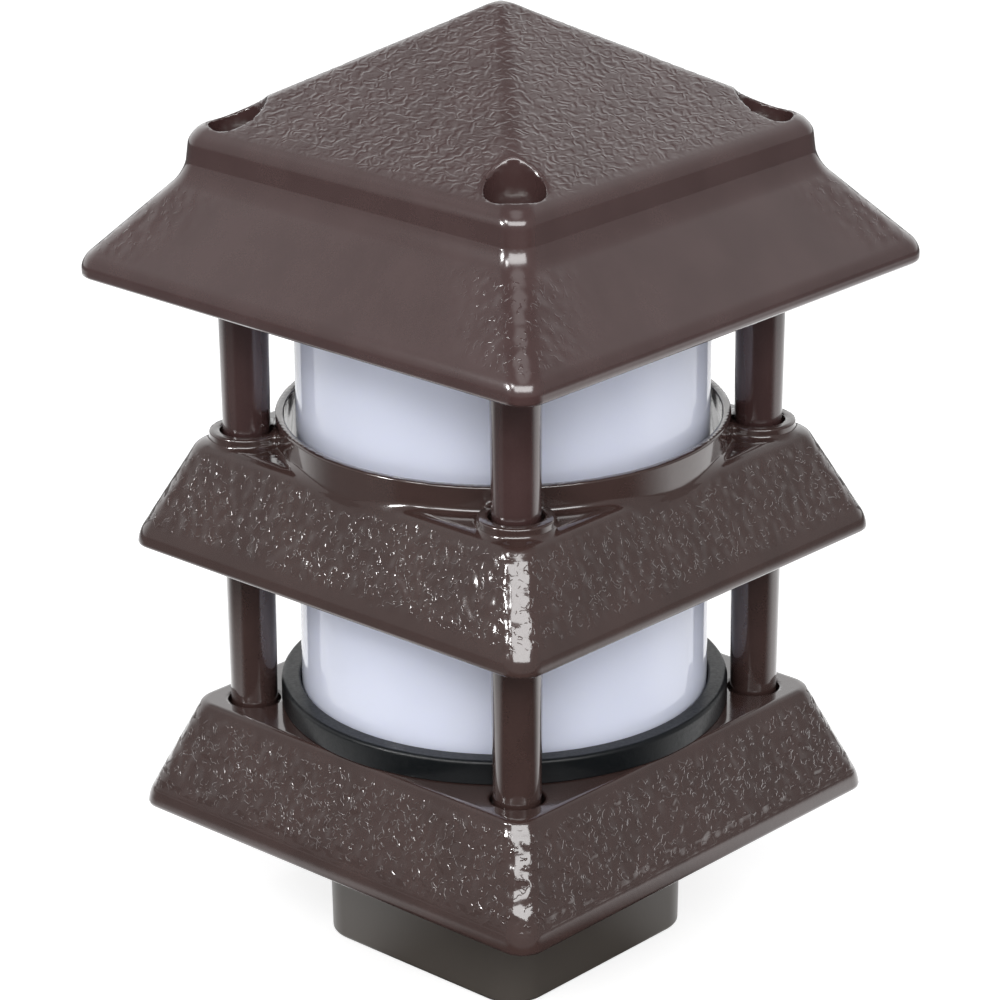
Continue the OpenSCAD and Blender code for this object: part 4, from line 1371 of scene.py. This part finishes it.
# %% The light's screws and washers
washer_t = 1.2
washer_top = float(washer_high[2])
tie_len = washer_top - tie_low
sheet_t = 1.5
foot_top = bottom_plate + sheet_t
bracket_top = levels("socket_bracket")[1]
holder_screw_x = 12.5
lug_t = 0.8

set_screws(
    "tie_screws_zinc", "roof", "tie_screws", (2.45, tie_len, 4.7, 3.2, 0.8, 26), zinc_steel,
    corners_of(post_c, washer_top), seed=3,
)
washer = turned("washer", [
    (washer_r, 0.6), (washer_r, washer_t, 0.4), (tie_hole_r, washer_t, 0.3), (tie_hole_r, 0, 0.3),
    (washer_r, 0, 0.4),
], seal_rubber, around=48)
washers = copies("sealing_washers", washer, corners_of(post_c, washer_top - washer_t), seal_rubber)
place_on(washers, "roof", "tie_screw_washers")
set_screws(
    "hub_screws_zinc", "base", "hub_screws", (2.0, 18.0, 4.0, 2.6, 0.7, 16), zinc_steel,
    corners_of(hub_screw_c, bottom_plate), seed=5,
)
set_screws(
    "bracket_screws_stainless", "base", "bracket_screws", (1.5, 8.0, 2.85, 2.1, 0.5, 7), stainless,
    pair_of(foot_screw_x, foot_top), seed=8,
)
set_screws(
    "lampholder_screws_zinc", "base", "lampholder_screws", (1.5, 9.0, 2.7, 2.1, 0.5, 7), zinc_steel,
    pair_of(holder_screw_x, bracket_top - sheet_t), seed=2, flip=math.pi,
)
set_screws(
    "ground_screw_green", "base", "ground_screw", (1.5, 6.5, 2.85, 2.1, 0.5, 5.5), green_zinc,
    [(0, ground_y, bottom_plate + lug_t)], seed=4,
)
print("a tie screw is", round(tie_len, 1), "mm long below its head")

# %% [markdown]
# ## The lampholder
#
# A glazed porcelain body stands on a bent steel strip. Its well is lined with a rolled screw shell of seven
# turns to the inch. The strip's section follows the bends of the real sheet, tight inside and wider outside,
# and is drawn out sideways; the holes are drilled by a tree.

# %% Porcelain body, screw shell and grommet
lamp_pitch = 25.4 / 7
holder_low, holder_high = levels("lampholder_body")
well_low, shell_high = levels("lampholder_shell")
lead_x, lead_r = 7.0, 1.3

holder = turned("porcelain_lampholder", [
    (0, holder_low),
    (17.5, holder_low, 0.6),
    (19.5, holder_low + 2, 1.2),
    (19.5, well_low - 2, 1.0),
    (18.0, well_low + 1, 1.0),
    (18.0, holder_high - 1.5, 0.7),
    (16.5, holder_high, 0.7),
    (14.2, holder_high, 0.4),
    (14.2, well_low, 0.4),
    (0, well_low),
], porcelain, around=128, closed=False)
drill(holder, lead_r + 0.2, lead_x, holder_low - 1, well_low + 1, porcelain)
drill(holder, 1.55, holder_screw_x, holder_low - 1, holder_low + 8, porcelain)
shell = turned("rolled_screw_shell", [
    (14.1, 101),
    (14.1, shell_high, 0.2),
    (13.5, shell_high, 0.2),
    (13.5, well_low + 0.6, 0.3),
    (11.7, well_low + 0.6, 0.2),
    (11.7, well_low, 0.2),
    (14.1, well_low, 0.4),
], nickel, around=128, fine=(well_low + 1, shell_high, 0.36),
    band=(well_low + 1.2, shell_high - 0.4, 1.5), thread=(lamp_pitch, -0.35))
grommet = turned("rubber_grommet", [
    (wire_hole_r - 0.05, bottom_plate - 1.75),
    (wire_hole_r - 0.05, bottom_plate, 0.2),
    (wire_hole_r + 2, bottom_plate, 0.3),
    (wire_hole_r + 1.3, bottom_plate + 1.4, 0.6),
    (wire_hole_r - 3, bottom_plate + 1.4, 0.6),
    (wire_hole_r - 3, bottom_plate - 4.9, 0.6),
    (wire_hole_r + 1.3, bottom_plate - 4.9, 0.6),
    (wire_hole_r + 2, bottom_plate - 3.5, 0.3),
    (wire_hole_r - 0.05, bottom_plate - 3.5, 0.2),
], seal_rubber, around=64)
place_on(holder, "base", "lampholder_body")
place_on(shell, "base", "lampholder_shell")
place_on(grommet, "base", "wire_grommet")
print("the shell has", round((shell_high - well_low) / lamp_pitch, 1), "turns")

# %% The bent bracket


def drawn_out(name, outline, half_width):
    """A closed outline in X and Z, drawn out along Y."""
    count = len(outline)
    points = [(x, side * half_width, z) for side in (-1, 1) for x, z in outline]
    walls = [(i, i + count, (i + 1) % count + count, (i + 1) % count) for i in range(count)]
    ends = [list(range(count)), list(range(2 * count - 1, count - 1, -1))]
    return new_object(name, points, ends + walls)


foot_end, riser_x = 30.0, 18.0
bracket_half = float(span("socket_bracket")[1][1])
right_side = [
    (riser_x - sheet_t, bracket_top - sheet_t, 0.7), (riser_x - sheet_t, bottom_plate, 2.1),
    (foot_end, bottom_plate, 0.3), (foot_end, foot_top, 0.3),
    (riser_x, foot_top, 0.7), (riser_x, bracket_top, 2.1),
]
left_side = [(-x, z, rounding) for x, z, rounding in reversed(right_side)]
bracket = drawn_out("bent_steel_bracket", section(right_side + left_side), bracket_half)
drill(bracket, 1.7, foot_screw_x, bottom_plate - 1, foot_top + 1, zinc_steel)
drill(bracket, 1.7, holder_screw_x, bracket_top - 3, bracket_top + 1, zinc_steel)
drill(bracket, lead_r + 1, lead_x, bracket_top - 3, bracket_top + 1, zinc_steel)
place_on(bracket, "base", "socket_bracket")
print("bracket", round(2 * bracket_half, 1), "mm wide")

# %% [markdown]
# ## The lamp
#
# A globe lamp: an opal dome on a moulded housing with cooling flutes, a rolled cap with the same thread as
# the shell, so that it screws in, and a black glass bead round its contact. The chips on its board are
# copies on rings.

# %% The lamp's turned pieces
tip_low = levels("lamp_contact")[0]
cap_low, cap_high = levels("lamp_cap")
rim_low, dome_high = levels("lamp_dome")
dome_r, dome_wall, cap_r = 30.0, 1.5, 13.1
dome_z = dome_high - dome_r
arc = np.radians(np.arange(0, 90, 5))

dome = turned(
    "opal_lamp_dome",
    [(0, dome_high - dome_wall)]
    + [((dome_r - dome_wall) * math.cos(a), dome_z + (dome_r - dome_wall) * math.sin(a)) for a in arc[::-1]]
    + [(28.0, rim_low), (29.5, rim_low, 0.2)]
    + [(dome_r * math.cos(a), dome_z + dome_r * math.sin(a)) for a in arc]
    + [(0, dome_high)],
    opal_plastic, around=128, closed=False,
)
housing = turned("fluted_lamp_housing", [
    (29.5, rim_low),
    (27.0, rim_low),
    (27.0, rim_low - 1.5),
    (24.5, rim_low - 1.5),
    (24.0, rim_low - 10, 1.0),
    (cap_r, cap_high + 5, 1.0),
    (10.5, cap_high),
    (10.5, cap_low + 4),
    (12.0, cap_low + 4),
    (12.0, cap_high),
    (14.1, cap_high, 0.4),
    (15.6, cap_high + 4, 1.0),
    (28.0, rim_low - 10, 4.0),
], white_plastic, around=192, fine=(cap_high + 3, rim_low, 1.2),
    band=(cap_high + 4, rim_low - 2, 4), ribs=(24, -0.8))
cap = turned("rolled_lamp_cap", [
    (cap_r, 108),
    (cap_r, cap_high, 0.1),
    (cap_r - 0.4, cap_high, 0.1),
    (cap_r - 0.4, cap_low + 2.7, 0.4),
    (cap_r - 1.8, cap_low + 0.4, 0.4),
    (cap_r - 3.2, cap_low + 0.4),
    (cap_r - 3.2, cap_low),
    (cap_r - 1.6, cap_low, 0.5),
    (cap_r, cap_low + 2.5, 0.8),
], nickel, around=128, fine=(cap_low + 2, cap_high, 0.36),
    band=(cap_low + 2.2, cap_high - 0.6, 1.5), thread=(lamp_pitch, -0.6))
bead = turned("black_glass_bead", [
    (0, tip_low + 1.2),
    (4.5, tip_low + 1.2),
    (cap_r - 3.2, cap_low, 0.2),
    (cap_r - 3.2, cap_low + 1.5),
    (0, cap_low + 1.5),
], black_glass, around=64, closed=False)
contact = turned("lamp_contact_brass", [
    (0, tip_low),
    (3.3, tip_low, 0.8),
    (4.5, tip_low + 0.8, 0.3),
    (4.5, tip_low + 1.2),
    (0, tip_low + 1.2),
], brass, around=48, closed=False)
place_on(dome, "lamp", "lamp_dome")
place_on(housing, "lamp", "lamp_housing")
place_on(cap, "lamp", "lamp_cap")
place_on(bead, "lamp_tip", "lamp_insulator")
place_on(contact, "lamp_tip", "lamp_contact")
print("the lamp is", round(dome_high - tip_low, 1), "mm long")

# %% The lamp's board
board_low, board_high = levels("lamp_board")
board = turned("lamp_board_disc", [
    (0, board_low), (26.4, board_low, 0.2), (26.4, board_high, 0.2), (0, board_high),
], board_metal, around=96, closed=False)
chip = turned("chip", [
    (0, 0), (2.0, 0), (2.0, 0.7, 0.15), (1.6, 0.7), (1.5, 0.6), (0, 0.6),
], opal_plastic, around=4, closed=False)
ring_places = [
    (r * math.cos(a), r * math.sin(a), board_high)
    for r, count in ((9.0, 6), (19.0, 14)) for a in np.arange(count) * math.tau / count
]
chips = copies("light_chips", chip, ring_places, opal_plastic, random_turn=0.0)
place_on(board, "lamp", "lamp_board")
place_on(chips, "lamp")
print("the board carries", len(ring_places), "chips")

# %% [markdown]
# ## Leads and connectors
#
# The leads hang from the lampholder through the grommet into the hub. Each is a few points that a founder
# would bend by hand; the tree smooths them and draws a round cable along. Twist-on connectors with fluted
# sides join them.

# %% The lead tree


def lead_tree():
    """Draws a round lead along a line of points, smoothed."""
    tree, given = new_geometry_tree("round lead", {
        "Lead radius": ("Float", 1 * MM),
        "Step": ("Float", 1 * MM),
        "Material": ("Material", None),
    })
    curve = add(tree, "GeometryNodeMeshToCurve", {0: given["Geometry"]})
    smooth = add(tree, "GeometryNodeCurveSplineType", {0: curve}, spline_type="CATMULL_ROM")
    fine = add(tree, "GeometryNodeSetSplineResolution", {0: smooth, "Resolution": 24})
    even = add(tree, "GeometryNodeResampleCurve", {"Curve": fine, "Length": given["Step"]}, mode="LENGTH")
    circle = add(tree, "GeometryNodeCurvePrimitiveCircle", {"Resolution": 20, "Radius": given["Lead radius"]})
    end_tree(tree, add(tree, "GeometryNodeCurveToMesh", {
        "Curve": even, "Profile Curve": circle, "Fill Caps": True,
    }), given)
    return tree


lead_drawing = lead_tree()


def lead(name, route, radius, material):
    """A lead of this radius along a route of points."""
    piece = new_object(name, route, edges=[(i, i + 1) for i in range(len(route) - 1)])
    return run_tree(piece, lead_drawing, {"Lead radius": radius * MM, "Step": 0.9 * MM, "Material": material})


print("leads are", 2 * lead_r, "mm thick over their PVC")

# %% The leads, the ground terminal and the connectors
connector_low, connector_high = levels("wire_connectors")
connector_c = 15.0
in_grommet = 2.6
lie_z = bottom_plate + lug_t + lead_r - 0.3
over_z = bottom_plate + 1.4 + lead_r + 1.2


def tail(away):
    """The end of a lead, from the grommet down into its connector; away is its way out from the middle."""
    route = [
        (in_grommet, bottom_plate - 4.5), (8, bottom_plate - 12),
        (connector_c, connector_high + 4), (connector_c, connector_high - 4),
    ]
    return [(away[0] * far, away[1] * far, level) for far, level in route]


def socket_lead(name, side, material):
    """A lead from the lampholder's well through the grommet to its connector."""
    start = [
        (lead_x, well_low), (lead_x, bracket_top + 1), (lead_x, bracket_top - 2.5),
        (in_grommet, bottom_plate + 1),
    ]
    return lead(name, [(side * x, 0, z) for x, z in start] + tail((side, 0)), lead_r, material)


line_lead = socket_lead("black_line_lead", 1, black_lead)
neutral_lead = socket_lead("white_neutral_lead", -1, white_lead)
lug_end = ground_y - 3.6
ground_start = [
    (lug_end - 0.4, lie_z), (lug_end - 4.2, lie_z), (10.2, over_z - 0.6),
    (6.6, over_z), (3.9, over_z - 0.9), (in_grommet, bottom_plate + 0.4),
]
ground_route = [(0, y, z) for y, z in ground_start] + tail((0, 1))
ground_lead = lead("green_ground_lead", ground_route, lead_r, green_lead)
barrel_route = [(0, lug_end - along, lie_z) for along in (-0.3, 1.5, 3.6)]
barrel = lead("crimped_barrel", barrel_route, 1.55, brass)
eye = turned("eye", [
    (3.6, 0.4), (3.6, lug_t, 0.2), (1.7, lug_t, 0.15), (1.7, 0, 0.15), (3.6, 0, 0.2),
], brass, around=48)
terminal = copies("ring_terminal", eye, [(0, ground_y, bottom_plate)], brass, random_turn=0.0)
connector = turned("connector", [
    (0, 0), (3.4, 0, 0.9), (4.4, 1.6, 0.8), (5.7, 14, 0.4), (6.4, 15, 0.4), (6.4, 20, 0.6),
    (5.1, 20, 0.5), (4.2, 15, 0.5), (0, 14.4),
], connector_orange, around=96, closed=False, fine=(1, 14, 1.2), band=(2, 13.8, 1.5), ribs=(12, -0.5))
connectors = copies("twist_on_connectors", connector, [
    (connector_c * x, connector_c * y, connector_low) for x, y in ((1, 0), (-1, 0), (0, 1))
], connector_orange, seed=6)
place_on(line_lead, "base", "line_lead")
place_on(neutral_lead, "base", "neutral_lead")
place_on(ground_lead, "base", "ground_lead")
place_on(barrel, "base")
place_on(terminal, "base")
place_on(connectors, "base", "wire_connectors")
print("connectors from", round(connector_low, 1), "to", round(connector_high, 1))

# %% [markdown]
# ## Finishes for the pieces that keep their own form
#
# Two pieces of the frame are already what they should be: a flat gasket and a springy tongue. They only need
# their finish.

# %% Finishes for the frame's own pieces
own_form = {"hub_gasket": seal_rubber, "lampholder_contact": brass}
for node, material in own_form.items():
    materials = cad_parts[node].data.materials
    materials.clear()
    materials.append(material)
print("dressed", len(own_form), "pieces of the frame")

# %% [markdown]
# ## The studio
#
# A product photograph on white is lit from all round. A large soft box near the camera, a little above it,
# gives the corners their white strips. A smaller key light stands on the left, and a small card near the
# tiers is there only for reflections: the curled ridges break it into glints. The wells and rings on the
# flat tops mirror a card overhead.
#
# Glossy dark castings show whatever stands round them, so the room is made to be mirrored as well as seen.
# The world is white to the camera, and in reflections it is dark behind the camera and overhead, and bright
# opposite. The floor is pale with a soft shadow, and only its mirror image is dark: a painted reflection in
# the paper's colour and glow, in front and to the left of the light, and far off, standing in for dark cards
# round it.

# %% The floor, and directions in the studio
floor_half, floor_level = 3000.0, -0.3
floor = new_object("floor", [
    (floor_half * x, floor_half * y, floor_level) for x, y in ((-1, -1), (1, -1), (1, 1), (-1, 1))
], [(0, 1, 2, 3)])
front, dark_side, overhead = direction(6), direction(-26), direction(2, 76)


def along(tree, way, axis):
    """How far a way, of length one, leans along an axis."""
    return add(tree, "ShaderNodeVectorMath", {0: way, 1: axis}, out="Value", operation="DOT_PRODUCT")


print("the floor is", round(2 * floor_half / 1000), "m square")

# %% White background paper
paper_glow = 0.7
dark_reflection_from, dark_reflection_full = 150.0, 300.0
far_off_from, far_off_full = 280.0, 900.0

floor_paper, tree = new_material("white background paper")
path = tree.nodes.new("ShaderNodeLightPath")
place = add(tree, "ShaderNodeTexCoord", out="Object")
way = add(tree, "ShaderNodeVectorMath", {0: place}, operation="NORMALIZE")
to_dark_side = along(tree, way, dark_side)
far = add(tree, "ShaderNodeVectorMath", {0: place}, out="Value", operation="LENGTH")
in_front = add(tree, "ShaderNodeMapRange", {
    0: along(tree, way, front), 2: 0.6,
}, interpolation_type="SMOOTHSTEP")
on_dark_side = add(tree, "ShaderNodeMapRange", {
    0: to_dark_side, 1: -0.2, 2: 0.5, 4: 0.9,
}, interpolation_type="SMOOTHSTEP")
beyond_hub = add(tree, "ShaderNodeMapRange", {
    0: far, 1: dark_reflection_from * MM, 2: dark_reflection_full * MM,
})
painted_dark_reflection = add(tree, "ShaderNodeMath", {0: on_dark_side, 1: beyond_hub}, operation="MULTIPLY")
by_side = add(tree, "ShaderNodeMath", {0: in_front, 1: painted_dark_reflection}, operation="MAXIMUM")
far_off = add(tree, "ShaderNodeMapRange", {
    0: far, 1: far_off_from * MM, 2: far_off_full * MM, 4: 0.9,
}, interpolation_type="SMOOTHSTEP")
shade = add(tree, "ShaderNodeMath", {0: by_side, 1: far_off}, operation="MAXIMUM")
# Painted reflection: to glossy rays the paper turns dark and stops glowing in front, to the left and far off,
# standing in for dark cards round it; to other rays it stays pale.
mirrored_shade = add(tree, "ShaderNodeMath", {
    0: path.outputs["Is Glossy Ray"], 1: shade,
}, operation="MULTIPLY")
seen_or_mirrored = add(tree, "ShaderNodeMath", {
    0: path.outputs["Is Camera Ray"], 1: path.outputs["Is Glossy Ray"],
}, operation="MAXIMUM")
seen = add(tree, "ShaderNodeMath", {
    0: seen_or_mirrored, 1: path.outputs["Is Transmission Ray"],
}, operation="MAXIMUM")
paper_tone = add(tree, "ShaderNodeMix", {
    0: mirrored_shade, 6: hex_colour("#DADADA"), 7: hex_colour("#303030"),
}, out=2, data_type="RGBA")
glowing = add(tree, "ShaderNodeMath", {0: seen, 1: mirrored_shade}, operation="SUBTRACT")
strength = add(tree, "ShaderNodeMath", {0: glowing, 1: paper_glow}, operation="MULTIPLY")
paper = add(tree, "ShaderNodeBsdfDiffuse", {"Color": paper_tone})
glow = add(tree, "ShaderNodeEmission", {"Color": hex_colour("#FFFFFF"), "Strength": strength})
finish_with(tree, add(tree, "ShaderNodeAddShader", {0: paper, 1: glow}))
floor.data.materials.append(floor_paper)
print("to the camera the paper glows at", paper_glow, "of full white, on top of what lights it")

# %% White surroundings
world = bpy.data.worlds.new("white studio")
bpy.context.scene.world = world
world.use_nodes = True
tree = world.node_tree
tree.nodes.clear()
path = tree.nodes.new("ShaderNodeLightPath")
outward = add(tree, "ShaderNodeTexCoord", out="Generated")
up = add(tree, "ShaderNodeSeparateXYZ", {0: outward}, out="Z")
backdrop = add(tree, "ShaderNodeMapRange", {
    0: along(tree, outward, front), 1: -0.75, 2: 0.1, 3: 1.0, 4: 0.25,
}, interpolation_type="SMOOTHSTEP")
ceiling = add(tree, "ShaderNodeMapRange", {
    0: up, 1: 0.55, 2: 0.85,
}, interpolation_type="SMOOTHSTEP")
walls_and_ceiling = add(tree, "ShaderNodeMix", {0: ceiling, 2: backdrop, 3: 0.2}, out=0)
card_half, card_outer = math.radians(8), math.radians(22)
overhead_card = add(tree, "ShaderNodeMapRange", {
    0: along(tree, outward, overhead), 1: math.cos(card_outer), 2: math.cos(card_half), 4: 0.75,
}, interpolation_type="SMOOTHSTEP")
mirrored = add(tree, "ShaderNodeMath", {0: walls_and_ceiling, 1: overhead_card}, operation="ADD")
seen = add(tree, "ShaderNodeMath", {
    0: path.outputs["Is Camera Ray"], 1: path.outputs["Is Transmission Ray"],
}, operation="MAXIMUM")
soft_level = add(tree, "ShaderNodeMix", {0: path.outputs["Is Glossy Ray"], 2: 0.5, 3: mirrored}, out=0)
level = add(tree, "ShaderNodeMix", {0: seen, 2: soft_level, 3: 1.0}, out=0)
add(tree, "ShaderNodeOutputWorld", {
    "Surface": add(tree, "ShaderNodeBackground", {"Color": hex_colour("#FFFFFF"), "Strength": level}),
})
print("the card overhead is", round(math.degrees(2 * card_outer)), "degrees wide with its soft edge")

# %% Soft boxes
light_heart = Vector((0, 0, 130))


def soft_box(name, turn, lift, distance, width, height, radiance, only_mirrored=False):
    """A flat soft light that faces the light's middle; turn and lift are degrees from the camera's side."""
    away = direction(turn, lift)
    lamp = bpy.data.lights.new(name, "AREA")
    lamp.shape = "RECTANGLE"
    lamp.size, lamp.size_y = width * MM, height * MM
    lamp.energy = radiance * math.pi * lamp.size * lamp.size_y
    holder = bpy.data.objects.new(name, lamp)
    holder.location = (light_heart + away * distance) * MM
    holder.rotation_euler = away.to_track_quat("Z", "Y").to_euler()
    holder.visible_camera = False
    holder.visible_diffuse = not only_mirrored
    bpy.context.scene.collection.objects.link(holder)


soft_box("front soft box", 2, 37.5, 1500, 1900, 580, 5.4)
soft_box("left key", -47, 38, 1500, 200, 260, 14.0)
soft_box("near card for the glints", -60, 25, 600, 80, 80, 60.0, only_mirrored=True)
print("lights:", ", ".join(light.name for light in bpy.data.lights))
